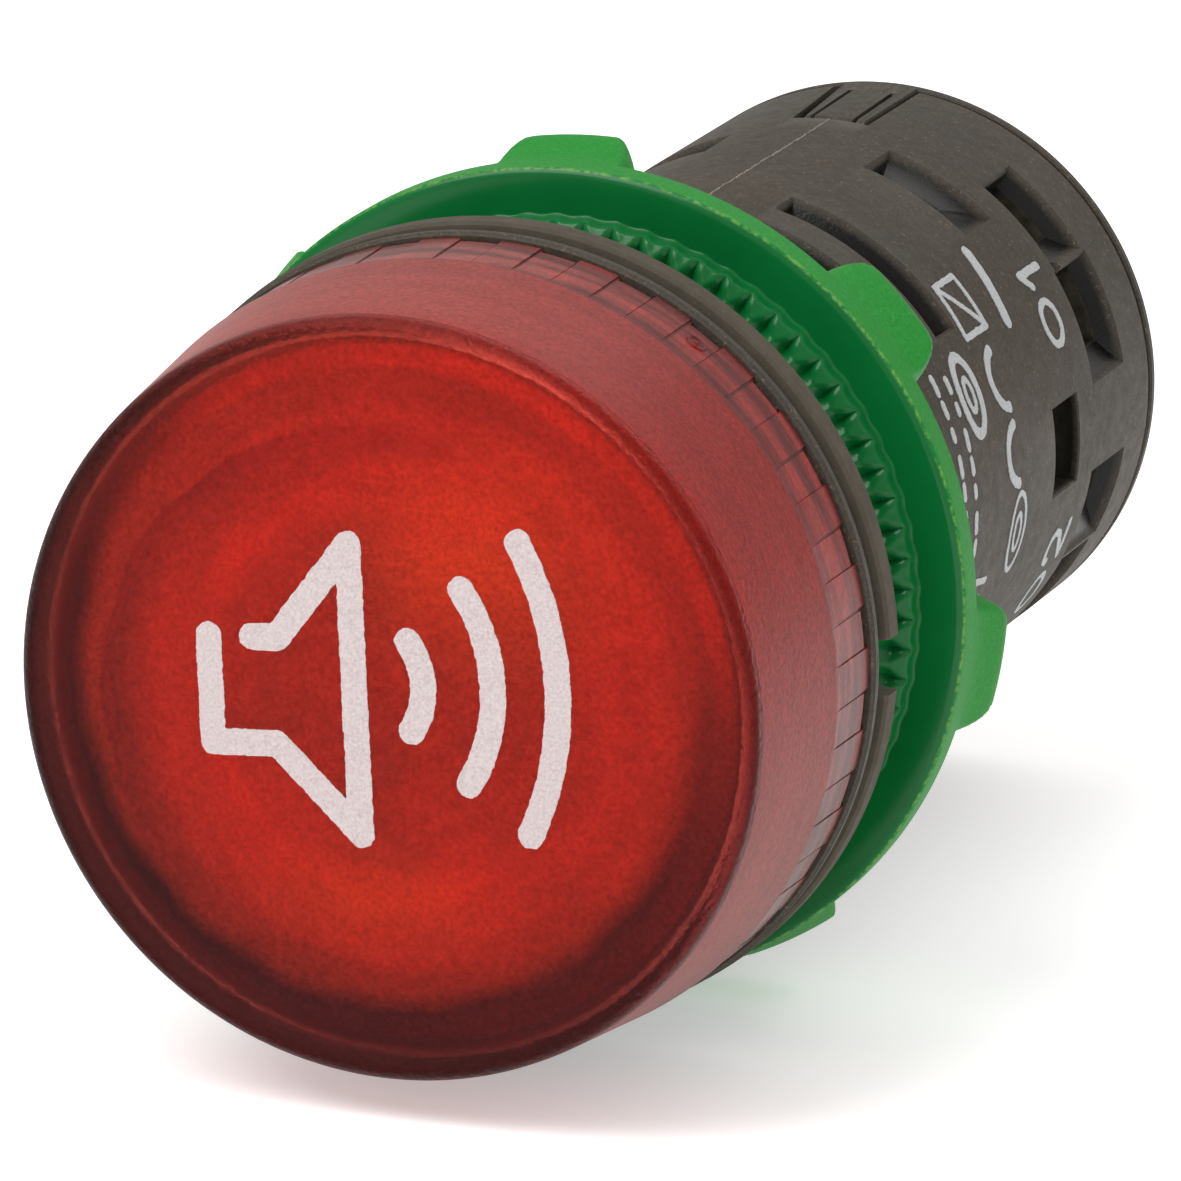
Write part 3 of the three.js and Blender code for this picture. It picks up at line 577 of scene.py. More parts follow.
# Slot: the material's name, dark and light tone, roughness, then size, depth, metallic, stretch.
TONES = {
    "component_black": ("epoxy_black", grey(0.02), grey(0.034), 0.5),
    "component_yellow": ("film_yellow", (0.5, 0.34, 0.03), (0.66, 0.47, 0.07), 0.35),
    "component_blue": ("dipped_blue", (0.03, 0.1, 0.34), (0.06, 0.18, 0.5), 0.3),
    "ceramic": ("ceramic_pale", (0.62, 0.58, 0.48), (0.76, 0.72, 0.62), 0.7),
    "led_white": ("led_resin", (0.82, 0.79, 0.66), (0.92, 0.9, 0.8), 0.25),
    "copper": ("copper_wire", (0.5, 0.22, 0.1), (0.68, 0.34, 0.18), 0.35, 0.3, 0.03, 1, (1, 8, 8)),
    "brass": ("brass_satin", (0.5, 0.35, 0.12), (0.68, 0.52, 0.24), 0.38, 0.4, 0.01, 1, (1, 6, 1)),
    "steel": ("zinc_steel", (0.42, 0.43, 0.43), (0.62, 0.63, 0.62), 0.36, 0.6, 0.008, 1),
    "aluminium": ("can_sleeve", (0.5, 0.51, 0.52), (0.66, 0.67, 0.68), 0.35, 0.6, 0.006, 1),
    "wire_red": ("insulation_red", (0.38, 0.02, 0.02), (0.5, 0.05, 0.04), 0.45),
    "wire_black": ("insulation_black", grey(0.012), grey(0.025), 0.45),
}
INNER = {slot: moulded_look(*values) for slot, values in TONES.items()}
INNER.update(board_green=board_look(), dark_body=BODY, seal_rubber=RUBBER)


def settle(obj, material, slot, *nodes, body="housing", wear=None, angle=32):
    """Finishes a piece: shading, material, the body it rides on, and hiding the CAD nodes it stands for. slot
    is not used.
    """
    obj.data.polygons.foreach_set("use_smooth", [True] * len(obj.data.polygons))
    obj.data.set_sharp_from_angle(angle=math.radians(angle))
    if wear is not None:
        mark_wear(obj, wear)
    obj.data.materials.clear()  # a cut leaves an empty slot
    obj.data.materials.append(material)
    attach(obj, body)
    if nodes:
        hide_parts(*nodes)


# ---- Camera ----
AIM = Vector((2.63, 1, 1)) * MM
AZIMUTH, ELEVATION, ROLL = 19.85, 15.08, 1
DISTANCE, FOCAL = 403 * MM, 348.4


def aimed(name, data, azimuth, elevation, distance, target=Vector(), roll=0):
    """An object that faces the target from that many degrees round to the right and up."""
    a, e = math.radians(azimuth), math.radians(elevation)
    away = Vector((math.sin(a) * math.cos(e), -math.cos(a) * math.cos(e), math.sin(e)))
    obj = bpy.data.objects.new(name, data)
    scene.collection.objects.link(obj)
    obj.location = target + away * distance
    obj.rotation_mode = "QUATERNION"
    turn = Matrix.Rotation(math.radians(roll), 3, "Z").to_quaternion()
    obj.rotation_quaternion = (-away).to_track_quat("-Z", "Y") @ turn
    return obj


camera_data = bpy.data.cameras.new("camera")
camera_data.lens = FOCAL
camera_data.sensor_width = 36
camera_data.clip_start, camera_data.clip_end = 10 * MM, 20000 * MM
camera = aimed("camera", camera_data, AZIMUTH, ELEVATION, DISTANCE, AIM, ROLL)
bpy.context.scene.camera = camera


# ---- Stage and light ----
def stage():
    """A pale floor just under the object."""
    floor_z = cad_low.z - 0.02 * MM
    bpy.ops.mesh.primitive_plane_add(size=2000 * MM, location=(0, 0, floor_z))
    floor = bpy.context.object
    floor.name = "floor"
    look = Look("floor_pale", roughness=0.8, specular=0.1)
    look.colour(look.ramp(look.noise(60, detail=2), (0.3, grey(0.9)), (0.7, grey(0.93))))
    look.set(Emission_Color=(1, 1, 1, 1), Emission_Strength=0.36)
    floor.data.materials.append(look.material)


def light(name, size, power, azimuth, elevation, distance):
    """Square area light that faces the object. Size and distance are in metres."""
    data = bpy.data.lights.new(name, "AREA")
    data.size = size
    data.energy = power
    aimed(name, data, azimuth, elevation, distance)


stage()
light("key", 0.35, 1.9, -35, 55, 0.5)
light("fill", 0.5, 0.3, 60, 35, 0.6)
light("rear", 0.4, 0.9, 150, 60, 0.6)
world = bpy.data.worlds.new("studio")
scene.world = world
world.use_nodes = True
sky = world.node_tree.nodes["Background"].inputs
sky["Color"].default_value = (1, 0.985, 0.955, 1)
sky["Strength"].default_value = 0.62
scene.view_settings.view_transform = "Standard"


# ---- Lens ----
SLOT_COUNT, SLOT_START, SLOT_ARC, SLOT_DEPTH = 30, 8, 5.4, 0.34
CREASE_Y = LENS_FRONT + 0.75
STEP_Y = -5.65      # where the frosted band ends
FLAT_R = 13.15      # where the face begins to round over
DOME_R, SAG = 13.1, 0.35    # the face falls back by SAG at the radius DOME_R


def dome(radius):
    """How far the lens's face falls back from its middle."""
    return SAG * (radius / DOME_R) ** 2


def lens_rows():
    """The lens's profile: radius, y, and 1 on the outlets' band or 2 at its slotted rear edge."""
    crease, face_steps, bend_steps = 13.55, 6, 12
    inner, inside = LENS_R - 1.3, LENS_FRONT + 1.6
    rear = LENS_REAR + 0.2
    rows = [(0, LENS_FRONT, 0)]
    for i in range(face_steps):
        radius = FLAT_R * (i + 1) / face_steps
        rows.append((radius, LENS_FRONT + dome(radius), 0))
    fall = CREASE_Y - LENS_FRONT - dome(FLAT_R)
    for i in range(1, bend_steps + 1):
        turn = math.pi / 2 * i / bend_steps
        rows.append((FLAT_R + (crease - FLAT_R) * math.sin(turn), CREASE_Y - fall * math.cos(turn), 0))
    return rows + [
        (crease + 0.03, CREASE_Y + 0.16, 0), (LENS_R - 0.02, STEP_Y - 0.3, 0),
        (LENS_R, STEP_Y - 0.12, 0), (LENS_R - 0.03, STEP_Y - 0.03, 0), (LENS_R - 0.09, STEP_Y, 0),
        (LENS_R - 0.05, STEP_Y + 0.7, 1), (LENS_R - 0.02, LENS_REAR - 0.56, 1), (LENS_R, rear - 0.06, 2),
        (LENS_R - 0.06, rear, 2), (inner, rear, 2), (inner, LENS_REAR - 0.6, 0),
        (inner, inside + 0.5, 0), (inner - 0.2, inside + 0.15, 0), (inner - 0.5, inside, 0),
        (FLAT_R / 2, inside, 0), (0, inside, 0)]


def lens():
    """The cup, with its slots and the fine lines between its rear tongues."""
    rows = lens_rows()
    angles, kinds, lined = [], {}, []
    pitch = 360 / SLOT_COUNT
    for k in range(SLOT_COUNT):
        start = SLOT_START + pitch * k
        end = start + SLOT_ARC
        column = [(start - 0.5, "land"), (start - 0.42, "tick"), (start - 0.06, "tick"), (start, "slot"),
                  (start + 1.8, "slot"), (start + 3.6, "slot"), (end, "slot"), (end + 0.02, "tick"),
                  (end + 0.14, "tick"), (end + 0.22, "land")]
        spare = pitch - SLOT_ARC
        column += [(end + spare * f, "land") for f in (0.25, 0.5, 0.75)]
        for angle, kind in column:
            angles.append(angle)
            kinds[angle] = kind
            if kind == "tick" and angle < start:
                lined.append(len(angles) - 1)

    def point(i, angle):
        radius, y, zone = rows[i]
        kind = kinds.get(angle, "land")
        if zone == 2 and kind == "slot":
            y -= SLOT_DEPTH
        if zone and kind != "land":
            radius -= 0.06 if kind == "tick" else 0.03
        return radius, y

    shell = revolve("lens_shell", point, len(rows), angles, capped=True)
    lines = np.zeros(len(shell.data.vertices))
    for i in range(1, len(rows) - 1):
        if rows[i][2]:
            lines[[(i - 1) * len(angles) + k for k in lined]] = 1
    store(shell, "line", lines)
    settle(shell, LENS_FACE, "red_lens", "lens_cap", angle=28)
    shell.data.materials.append(LENS_SIDE)
    for face in shell.data.polygons:
        x, y, z = face.center / MM
        if y > CREASE_Y and math.hypot(x, z) > LENS_R - 0.6:
            face.material_index = 1


lens()


def gate_mark():
    """The small sunken ring and nib that an injection gate leaves on the lens's side."""
    profile = [(0, 0.05), (0.25, 0.045), (0.35, -0.01), (0.62, -0.02), (0.75, 0.045), (0.92, 0.05),
               (1, -0.03)]
    angle, y, radius, sides = 34.8, -3.8, 0.42, 24
    surface = LENS_R - 0.05
    centre = Vector(polar(surface, angle, y))
    outward = Vector(polar(1, angle, 0))
    across = Vector(polar(1, angle + 90, 0))
    along = Vector((0, MM, 0))
    verts = [tuple(centre + outward * profile[0][1])]
    for share, height in profile[1:]:
        for k in range(sides):
            turn = 2 * math.pi * k / sides
            u, v = radius * share * math.cos(turn), radius * share * math.sin(turn)
            drop = surface - math.sqrt(surface ** 2 - u ** 2)
            verts.append(tuple(centre + across * u + along * v + outward * (height - drop)))
    faces = [(0, 1 + k, 1 + (k + 1) % sides) for k in range(sides)]
    faces += bands(len(profile) - 1, sides, first=1)
    base = 1 + (len(profile) - 2) * sides
    faces.append(tuple(base + k for k in range(sides)))
    piece = mesh_object("lens_gate_mark", verts, faces)
    settle(piece, LENS_SIDE, "red_lens", angle=60)


gate_mark()


# ---- Diffuser behind the lens ----
def diffuser():
    """The plate behind the lens, stepped near its edge."""
    front, rear = DIFFUSER_LOW.y, DIFFUSER_HIGH.y
    outer = DIFFUSER_HIGH.x
    inner, plate = outer - 1.2, 1
    depths = [(0, 0), (1.6, 0.02), (3, 0.16), (4.6, 0.2), (6.2, 0.04), (7.4, 0), (8.6, 0.05), (9.9, 0.12),
              (10.2, 0.3), (10.35, 0.5), (11.4, 0.5), (11.55, 0.1), (11.8, 0), (outer - 0.2, 0), (outer, 0.2),
              (outer, rear - front), (inner, rear - front), (inner, plate), (6, plate), (0, plate)]
    profile = [(radius, front + depth) for radius, depth in depths]
    piece = turned("light_diffuser_plate", profile, 120)
    settle(piece, DIFFUSER, "milky", "light_diffuser")


diffuser()


# ---- Printed marks ----
def stroke_distance(us, vs, strokes):
    """Distance inside the nearest stroke at each grid point, positive inside it."""
    u, v = np.meshgrid(us, vs, indexing="ij")
    best = np.full(u.shape, -1e3)
    for width, points in strokes:
        for (x0, y0), (x1, y1) in zip(points, points[1:]):
            dx, dy = x1 - x0, y1 - y0
            t = np.clip(((u - x0) * dx + (v - y0) * dy) / (dx * dx + dy * dy), 0, 1)
            best = np.maximum(best, width / 2 - np.hypot(u - x0 - t * dx, v - y0 - t * dy))
    return best


def printed(name, strokes, place, cell=0.07, grain=0.035):
    """Ink of the strokes' outline with a grainy edge. place(u, v, height) is a point."""
    us = [p[0] for _, points in strokes for p in points]
    vs = [p[1] for _, points in strokes for p in points]
    margin = 1
    nu = int((max(us) - min(us) + 2 * margin) / cell)
    nv = int((max(vs) - min(vs) + 2 * margin) / cell)
    u0, v0 = min(us) - margin, min(vs) - margin
    field = stroke_distance(u0 + cell * np.arange(nu + 1), v0 + cell * np.arange(nv + 1), strokes)
    for i, j in zip(*np.nonzero(np.abs(field) < 0.15)):
        u, v = u0 + i * cell, v0 + j * cell
        field[i, j] += grain * (noise.noise((u * 4, v * 4, 0.3)) + noise.noise((u * 11, v * 11, 1.7)))
    field[np.abs(field) < 1e-6] = 1e-6
    field = field.tolist()
    index, points, faces = {}, [], []

    def numbered(key, i, j):
        """The number of the point at a place on the grid, which is added if it is new."""
        if key not in index:
            index[key] = len(points)
            points.append((u0 + i * cell, v0 + j * cell))
        return index[key]

    def crossing(p, q):
        """The point where the outline crosses the line between two corners of the grid."""
        (i, j), (k, m) = p, q = sorted((p, q))
        a, b = field[i][j], field[k][m]
        t = min(0.95, max(0.05, a / (a - b)))
        return numbered((p, q), i + (k - i) * t, j + (m - j) * t)

    for i in range(nu):
        for j in range(nv):
            square = [(i, j), (i + 1, j), (i + 1, j + 1), (i, j + 1)]
            signs = [field[p][q] > 0 for p, q in square]
            if all(signs):
                faces.append([numbered(p, *p) for p in square])
                continue
            if not any(signs):
                continue
            for triangle in ((0, 1, 2), (0, 2, 3)):
                loop = []
                for k in range(3):
                    p, q = square[triangle[k]], square[triangle[(k + 1) % 3]]
                    inside_p, inside_q = field[p[0]][p[1]] > 0, field[q[0]][q[1]] > 0
                    if inside_p:
                        loop.append(numbered(p, *p))
                    if inside_p != inside_q:
                        loop.append(crossing(p, q))
                if len(loop) > 2:
                    faces.append(loop)
    top, low = 0.03, -0.05
    count = len(points)
    verts = [place(u, v, top) for u, v in points] + [place(u, v, low) for u, v in points]
    edges = {(p, q): True for face in faces for p, q in zip(face, face[1:] + face[:1])}
    solid = [tuple(f) for f in faces] + [tuple(count + p for p in reversed(f)) for f in faces]
    solid += [(q, p, count + p, count + q) for p, q in edges if (q, p) not in edges]
    return mesh_object(name, verts, solid)


def arc(x, z, radius, start, end, steps=10):
    """Points of an arc; degrees from +x towards +z."""
    turns = [math.radians(start + (end - start) * k / steps) for k in range(steps + 1)]
    return [(x + radius * math.cos(t), z + radius * math.sin(t)) for t in turns]


def sound_symbol():
    """A loudspeaker in outline with three sound waves."""
    width = 0.95
    strokes = [
        (width, [(-1.38, 5.17), (-1.4, -5.1)]),
        (width, [(-5.1, 1.76), (-4.17, 1.76), (-1.38, 5.17)]),
        (width, [(-6.72, 1.74), (-6.74, -2.04), (-4.36, -2), (-1.4, -5.1)]),
        (width, arc(-1.6, 0.25, 2.76, 35, -35)),
        (width, arc(-2.6, 0.3, 6.3, 33, -33)),
        (width, arc(-5.3, 0.3, 11.35, 27, -27)),
    ]
    turn = math.radians(3.8)
    right, up = 0.42, 0.52

    def place(u, v, height):
        x = right + u * math.cos(turn) - v * math.sin(turn)
        z = up + u * math.sin(turn) + v * math.cos(turn)
        return (x * MM, (LENS_FRONT + dome(math.hypot(x, z)) - height) * MM, z * MM)

    piece = printed("sound_symbol", strokes, place)
    settle(piece, INK, "white_print", angle=40)


sound_symbol()


# ---- Barrel ----
def thread_lift(y, degrees, flat):
    """Height of the thread, 0 to 1. flat is the share of the wave cut off at the top and bottom."""
    wave = 0.5 + 0.5 * math.cos(2 * math.pi * (y / THREAD_LEAD - degrees / 360))
    return min(1, max(0, (wave - flat) / (1 - 2 * flat)))


def thread_radius(y, degrees):
    """The barrel's rounded trapezoidal thread, fading out at both ends."""
    depth, run_out = 0.55, 0.8
    fade = min(1, (y - THREAD_FRONT) / run_out, (THREAD_REAR - y) / run_out)
    return BARREL_R - depth * max(0, fade) * (1 - thread_lift(y, degrees, 0.18))


def barrel():
    """The flange and the barrel, with their openings cut."""
    spigot_front, spigot_out, spigot_in = BODY_LOW.y, 12.5, 11.4
    flange_front, flange_rear, bore, ledge = -2.35, -1.5, 9.3, -2.6
    rows = [(bore, ledge), (spigot_in, ledge), (spigot_in, spigot_front + 0.1),
            (spigot_in + 0.1, spigot_front), (spigot_out - 0.1, spigot_front),
            (spigot_out, spigot_front + 0.1), (spigot_out, flange_front)]
    rows += [(FLANGE_R - inset, flange_front + depth) for inset, depth in (
        (0.55, 0), (0.45, -0.1), (0.12, -0.1), (0, 0.06), (0.02, 0.42), (0.2, 0.52))]
    rows += [(FLANGE_R - 0.22, flange_rear - 0.14), (FLANGE_R - 0.35, flange_rear), (BARREL_R, flange_rear),
             (BARREL_R, THREAD_FRONT)]
    length = THREAD_REAR - THREAD_FRONT
    count = int(length / THREAD_LEAD * 9)
    rows += [(None, THREAD_FRONT + length * k / count) for k in range(1, count)]
    rows += [(BARREL_R, THREAD_REAR), (BARREL_R, 24), (BARREL_R, 32), (BARREL_R, BODY_REAR - 0.12),
             (BARREL_R - 0.12, BODY_REAR), (bore, BODY_REAR), (bore, 20)]

    def point(i, angle):
        radius, y = rows[i]
        return (thread_radius(y, angle) if radius is None else radius), y

    sides = 216
    shell = revolve("barrel_shell", point, len(rows), [360 * k / sides for k in range(sides)])
    through = bore - 0.6
    tools = []
    for start in range(0, 360, 60):
        ends = (start, start + 24)
        tools.append(loft([(r, *ends, *ends, spigot_front - 1, spigot_front + 1.8)
                           for r in (spigot_in - 0.5, spigot_out + 0.5)], 12))
    # Tool pockets on both sides, each with a slit that goes through.
    for side in (1, -1):
        mouth = sorted((17.2 * side, 40.5 * side))
        slit = sorted((17.8 * side, 32 * side))
        ends = (1.2, 7.5)[::side]
        tools.append(pocket(*mouth, 28.8, 31.65, 10.3, draft=(*ends, 0.1, 0.9)))
        tools.append(pocket(*slit, 28.85, 30.6, through, flare=0.02))
    # Wire entries, a notch that joins two of them, and the window onto the terminal bar.
    for start, end, front, rear in ((34.6, 55, 33.7, 36.9), (57, 79.5, 33.6, 37.15),
                                    (98.3, 115.8, 33.55, 37.4), (118, 140, 33.7, 36.9)):
        tools.append(pocket(start, end, front, rear, 10.25, draft=(0.5, 5, 0.05, 0.4)))
        tools.append(pocket(start + 0.5, end - 5.4, front + 0.05, rear - 0.5, through, flare=0.02))
    tools.append(pocket(54, 58.5, 33.65, 34.4, 10.55, flare=0.05, draft=(0, 0, 0, 0.4)))
    tools.append(pocket(79.5, 97, 28.6, 31.5, through, flare=0.08))
    # Moulding grooves, and the seat of the cover's tab.
    for front, rear in ((16.4, 18.2), (20.4, 22.2)):
        for start in (14, 126, 194, 306):
            tools.append(pocket(start, start + 40, front, rear, 10.1, draft=(0.8, 0.8, 0.15, 0.3)))
    tools.append(loft([(r, -7.8, 8, -10.6, 8, 33.9, BODY_REAR + 1)
                       for r in (through, BARREL_R + 1)], 12))
    combine(shell, tools)
    settle(shell, BODY, "dark_body", "housing_body", wear=0.3)


barrel()


def mould_seam(name, degrees, front, rear):
    """The rough raised line that the mould's parting leaves along the barrel."""
    verts = []
    step_length, seam_half, seam_height = 0.12, 0.24, 0.035
    steps = int((rear - front) / step_length)
    for k in range(steps + 1):
        y = front + (rear - front) * k / steps
        wander = 0.25 * noise.noise((y * 3, degrees, 0.5))
        half = seam_half + 0.16 * noise.noise((y * 6, degrees, 3.1))
        height = seam_height + 0.03 * noise.noise((y * 9, degrees, 7.7))
        for offset, lift in ((-half, -0.04), (-half * 0.4, height), (half * 0.4, height), (half, -0.04)):
            verts.append(polar(BARREL_R + lift, degrees + wander + offset, y))
    faces = bands(steps + 1, 4)
    faces.append((0, 1, 2, 3))
    faces.append(tuple(4 * steps + j for j in range(4)))
    piece = mesh_object(name, verts, faces)
    settle(piece, SEAM, "dark_body", angle=60)


SEAM = moulded_look("seam_flash", (0.1, 0.09, 0.075), (0.3, 0.27, 0.23), 0.7, 0.25)
mould_seam("mould_seam_top", 0.3, 19, 33.8)
mould_seam("mould_seam_bottom", 180.3, 19, 39.9)


# ---- Seal ----
def seal():
    """The rubber ring, with a groove in its rear face and the notch at 3 o'clock."""
    front, rear = SEAL_LOW.y, SEAL_HIGH.y
    inner = BARREL_R + 0.3
    rows = [(inner, front + 0.1, 0), (inner + 0.1, front, 0), (SEAL_R - 0.35, front, 1),
            (SEAL_R - 0.12, front + 0.06, 1), (SEAL_R, front + 0.2, 1), (SEAL_R, rear - 0.16, 1),
            (SEAL_R - 0.12, rear, 1), (13.2, rear, 0), (13, rear - 0.12, 0), (12.6, rear - 0.12, 0),
            (12.4, rear, 0), (inner + 0.1, rear, 0), (inner, rear - 0.1, 0)]
    notch, notch_depth = (86, 94), 1
    angles = sorted({float(k) for k in range(0, 360, 2) if not notch[0] <= k <= notch[1]}
                    | {notch[0] - 0.5, notch[0] - 0.04, notch[0], notch[0] + 0.8, 88.5, 90, 91.5,
                       notch[1] - 0.8, notch[1], notch[1] + 0.04, notch[1] + 0.5})

    def point(i, angle):
        radius, y, outer = rows[i]
        if outer and notch[0] <= angle <= notch[1]:
            radius -= notch_depth
        return radius, y

    ring = revolve("seal_ring", point, len(rows), angles)
    settle(ring, RUBBER, "seal_rubber", "panel_seal", wear=0.3)


seal()


# ---- Fixing nut ----
TOOTH_COUNT, LOBE_COUNT, LOBE_ANGLE = 74, 7, 47


def smooth(value):
    """An S-shaped step from 0 to 1."""
    t = max(0, min(1, value))
    return t * t * (3 - 2 * t)


def nut():
    """The fixing nut, one moulding: toothed front, flange, and grip lobes round its neck."""
    bore, tooth_tip, flange_front = 11.3, HUB_LOW.y, RING_LOW.y
    flange_rear, neck, neck_rear, lobe_rear = RING_HIGH.y, 12.7, 9.4, HUB_HIGH.y
    lobe_r, half_arc, corner, fillet = 15.6, 9.9, 2.5, 1.25
    lobe_pitch = 360 / LOBE_COUNT
    columns = TOOTH_COUNT * 10

    def tooth(radius, angle):
        """How far along the axis the toothed face lies: ridges parted by wedge-shaped grooves."""
        phase = (angle * TOOTH_COUNT / 360) % 1
        away = abs(phase - 0.5) * 2 * math.pi * radius / TOOTH_COUNT
        slope = min(1, max(0, (radius - 11.9) / 0.5))
        ridge = tooth_tip + 0.55 * slope + 0.42 * max(0, (radius - 12.4) / 0.8)
        depth = 0.54 - 0.38 * smooth((radius - 12.3) / 0.75)
        groove = max(0, depth - 0.98 * away)
        wall = smooth((radius - 13.1 - 0.1 * (1 - min(1, away / 0.4))) / 0.2)
        y = ridge + groove + 0.1 * away ** 2
        return y + (flange_front - y) * wall

    def lobe(angle, y):
        """How far a lobe is raised at an angle and a distance along the axis."""
        offset = abs((angle - LOBE_ANGLE + lobe_pitch / 2) % lobe_pitch - lobe_pitch / 2)
        near_rear = max(0, y - (lobe_rear - corner)) / corner
        shrink = math.degrees(corner / lobe_r) * (1 - math.sqrt(max(0, 1 - min(1, near_rear) ** 2)))
        return smooth((half_arc + 1.2 - shrink - offset) / 5.6 + 0.5)

    front = [11.3, 11.9, 12.15, 12.4, 12.6, 12.8, 12.95, 13.06]
    front += [13.12 + 0.05 * k for k in range(7)] + [13.48, 14]
    rim = [(RING_R - inset, flange_front + depth) for inset, depth in (
        (0.32, 0), (0.22, 0.02), (0.12, 0.07), (0.05, 0.13), (0.01, 0.2), (0, 0.28), (0, 0.5), (0, 0.9))]
    rim.append((RING_R, flange_rear - 0.15))
    back_steps, bore_steps, bore_front = 14, 24, 5.2
    back_ys = [flange_rear + (lobe_rear - flange_rear) * k / back_steps for k in range(back_steps + 1)]
    bore_length = neck_rear - 0.4 - bore_front
    bore_ys = [neck_rear - 0.2 - bore_length * k / bore_steps for k in range(bore_steps + 1)]
    rows = [("front", r, 0) for r in front] + [("rim", r, y) for r, y in rim]
    rows += [("back", 0, y) for y in back_ys] + [("rear", share, 0) for share in (0.8, 0.5, 0.2)]
    rows += [("bore", 0, y) for y in bore_ys]

    def back(angle, y):
        """The profile behind the flange: the neck between the lobes, and the lobes' backs."""
        y = min(y, neck_rear + (lobe_rear - neck_rear) * lobe(angle, lobe_rear - corner))
        t = (y - flange_rear) / (lobe_rear - flange_rear)
        top = RING_R + (lobe_r - RING_R) * smooth(t * 1.15)
        edge = lobe_rear - fillet
        if y > edge:
            top -= fillet * (1 - math.sqrt(max(0, 1 - ((y - edge) / fillet) ** 2)))
        base = neck + (RING_R - neck) * (1 - smooth((y - flange_rear) / 0.35))
        return base + (max(top, base) - base) * lobe(angle, y), y

    def point(i, angle):
        kind, a, b = rows[i]
        if kind == "front":
            return a, tooth(a, angle)
        if kind == "rim":
            return a, b
        if kind == "back":
            return back(angle, b)
        if kind == "rear":
            outer, y = back(angle, lobe_rear)
            return bore + 0.2 + (outer - bore - 0.2) * a, y
        return bore + 0.32 * (1 - thread_lift(b, angle, 0.2)), b

    piece = revolve("fixing_nut", point, len(rows), [360 * k / columns for k in range(columns)])
    place = np.zeros(len(piece.data.vertices) * 3, np.float32)
    piece.data.vertices.foreach_get("co", place)
    x, y, z = place.reshape(-1, 3).T / MM
    blasted = np.clip((y - flange_front - 0.1) / 0.1, 0, 1) * (np.hypot(x, z) > 12.4)
    edge = np.clip(1 - np.abs(y - flange_front - 0.14) / 0.09, 0, 1) * (blasted > 0)
    store(piece, "blasted", blasted)
    store(piece, "edge", edge)
    settle(piece, GREEN, "green_nut", "nut_flange_ring", "nut_lobed_hub", body="nut", angle=50)


nut()


# ---- Rear cover ----
def rear_cover():
    """The end plate with its snap tab, screwdriver holes and moulded lines."""
    front, rear = COVER_FRONT, COVER_HIGH.y
    screw_low, screw_high = near("terminal_screw_x1")
    screw = (screw_low + screw_high) / 2
    rim = BODY_REAR + 0.3
    profile = [(0, front), (8.9, front), (9, front + 0.1), (9, rim), (BARREL_R - 0.08, rim),
               (BARREL_R, rim + 0.08), (BARREL_R, rear - 0.22), (BARREL_R - 0.07, rear - 0.07),
               (BARREL_R - 0.22, rear), (9.9, rear), (9.75, rear - 0.28), (5, rear - 0.3), (0, rear - 0.3)]
    plate = turned("rear_cap", profile, 216)
    tab = loft([(r, -6, 6.8, -8.9, 6.8, 34.2, rear - 0.45) for r in (9.65, BARREL_R - 0.1)]
               + [(BARREL_R, -5.7, 6.5, -8.6, 6.5, 34.35, rear - 0.5)], 14)
    combine(plate, [tab], "UNION")
    tools = []
    for side in (1, -1):
        hole = [(2.8, front - 1), (2.8, rear - 0.5), (3.25, rear + 0.02), (3.25, rear + 1)]
        tools.append(round_tool(Vector((screw.x, 0, side * abs(screw.z))), hole))
    for angle in (-90, -45, -135):
        tools.append(loft([(r, angle - d, angle + d, angle - d, angle + d, rear - 0.62, rear + 1)
                           for r, d in ((4.2, 3), (8.2, 1.6))], 6))
    for slanted in (-4.2, 4.6):
        tools.append(loft([(r, slanted - 0.5, slanted + 0.5, slanted - 1.2, slanted - 0.2, 34, 39.2)
                           for r in (BARREL_R - 0.35, BARREL_R + 1)], 2))
    combine(plate, tools)
    settle(plate, BODY, "dark_body", "rear_cover", wear=0.3)


def round_tool(centre, profile, sides=48):
    """A turned cutter along Y about a centre that is not on the device's axis."""
    verts = []
    for radius, y in profile:
        for k in range(sides):
            x, y_out, z = polar(radius, 360 * k / sides, y)
            verts.append((centre.x * MM + x, y_out, centre.z * MM + z))
    last = (len(profile) - 1) * sides
    faces = bands(len(profile), sides)
    faces.append(tuple(range(sides)))
    faces.append(tuple(last + k for k in range(sides)))
    return mesh_object("cutter", verts, faces)


rear_cover()


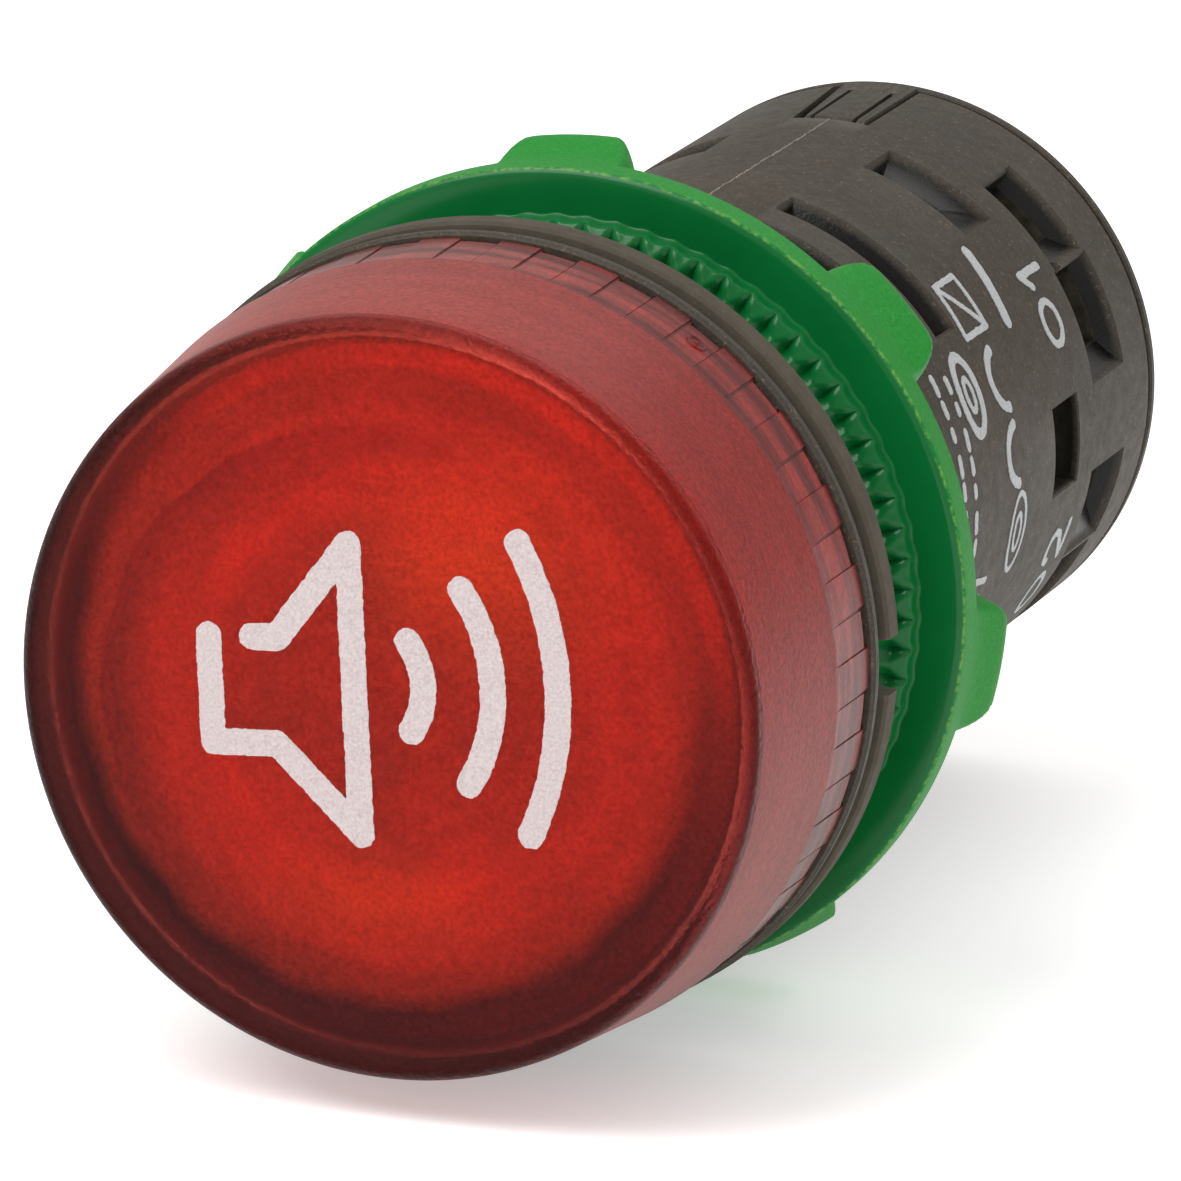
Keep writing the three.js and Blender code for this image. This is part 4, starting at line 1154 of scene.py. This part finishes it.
# ---- Generic print on the barrel ----
def barrel_print():
    """Plain marks where the real one carries its labels: bars, ovals, arcs and rows of dashes."""
    def place(u, v, height):
        return polar(BARREL_R + height, math.degrees(u / BARREL_R), v)

    def at(degrees):
        return math.radians(degrees) * BARREL_R

    def numeral(points, degrees, y):
        """A terminal's number, read along the barrel's girth with its top towards the lens."""
        return (0.34, [(at(degrees) - a, y - b) for a, b in points])

    def oval(width, degrees, y, length, breadth):
        turns = [2 * math.pi * k / 24 for k in range(25)]
        return (width, [(at(degrees) + length * math.cos(t), y + breadth * math.sin(t)) for t in turns])

    def hook(degrees):
        """An arc of about 150 degrees, open towards the rear."""
        return (0.42, [(at(degrees) + 1.15 * math.cos(t / 10), 24.4 - 1.3 * math.sin(t / 10))
                       for t in range(2, 30, 3)])

    one = [(-0.5, 1.45), (0.1, 2.1), (0.1, 0)]
    two = [(-0.65, 1.5), (-0.45, 1.95), (0, 2.1), (0.45, 1.95), (0.65, 1.5), (0.5, 1.05), (-0.7, 0),
           (0.75, 0)]
    box = [(at(46), 22.9), (at(57.5), 22.7), (at(57.5), 25), (at(46), 25), (at(46), 22.9),
           (at(57.5), 25)]
    strokes = [
        numeral(one, 54, 32.3), numeral(two, 110, 31.9),
        oval(0.32, 64.5, 31, 0.85, 0.8), oval(0.3, 121.5, 31, 0.85, 0.8),
        (0.62, [(at(44), 27.6), (at(59), 27)]), (0.26, box),
        oval(0.42, 66.8, 20.7, 1.5, 0.9), oval(0.26, 66.8, 20.7, 0.62, 0.34), hook(67.6), hook(82.6),
        oval(0.22, 98.6, 24.4, 1.5, 0.85), oval(0.22, 98.6, 24.4, 0.7, 0.35),
    ]
    for row, v in enumerate((17.9, 19.1)):
        for k in range(8):
            start = 60 + 5.4 * k + 1.7 * row
            strokes.append((0.36, [(at(start), v), (at(start + 2.9 - 0.8 * ((k + row) % 3)), v)]))
    for k in range(3):
        strokes.append((0.28, [(at(103 + 3.4 * k), 19.6), (at(104.5 + 3.4 * k), 21.4 - 0.3 * k)]))
    piece = printed("barrel_marks", strokes, place, grain=0.03)
    settle(piece, PALE_INK, "white_print", angle=40)


barrel_print()


# ---- CAD nodes that show as they are ----
subparts = {s["node"]: s["material_slot"] for s in frame["record"]["subparts"]}
for name, node in frame["nodes"].items():
    if node.hide_render:
        continue
    material = INNER[subparts[name]]
    for slot in node.material_slots:
        slot.link = "OBJECT"
        slot.material = material
    bevel = node.modifiers.new("edge", "BEVEL")
    bevel.width = 0.06 * MM
    bevel.segments = 2
    bevel.limit_method = "ANGLE"
    bevel.angle_limit = math.radians(35)
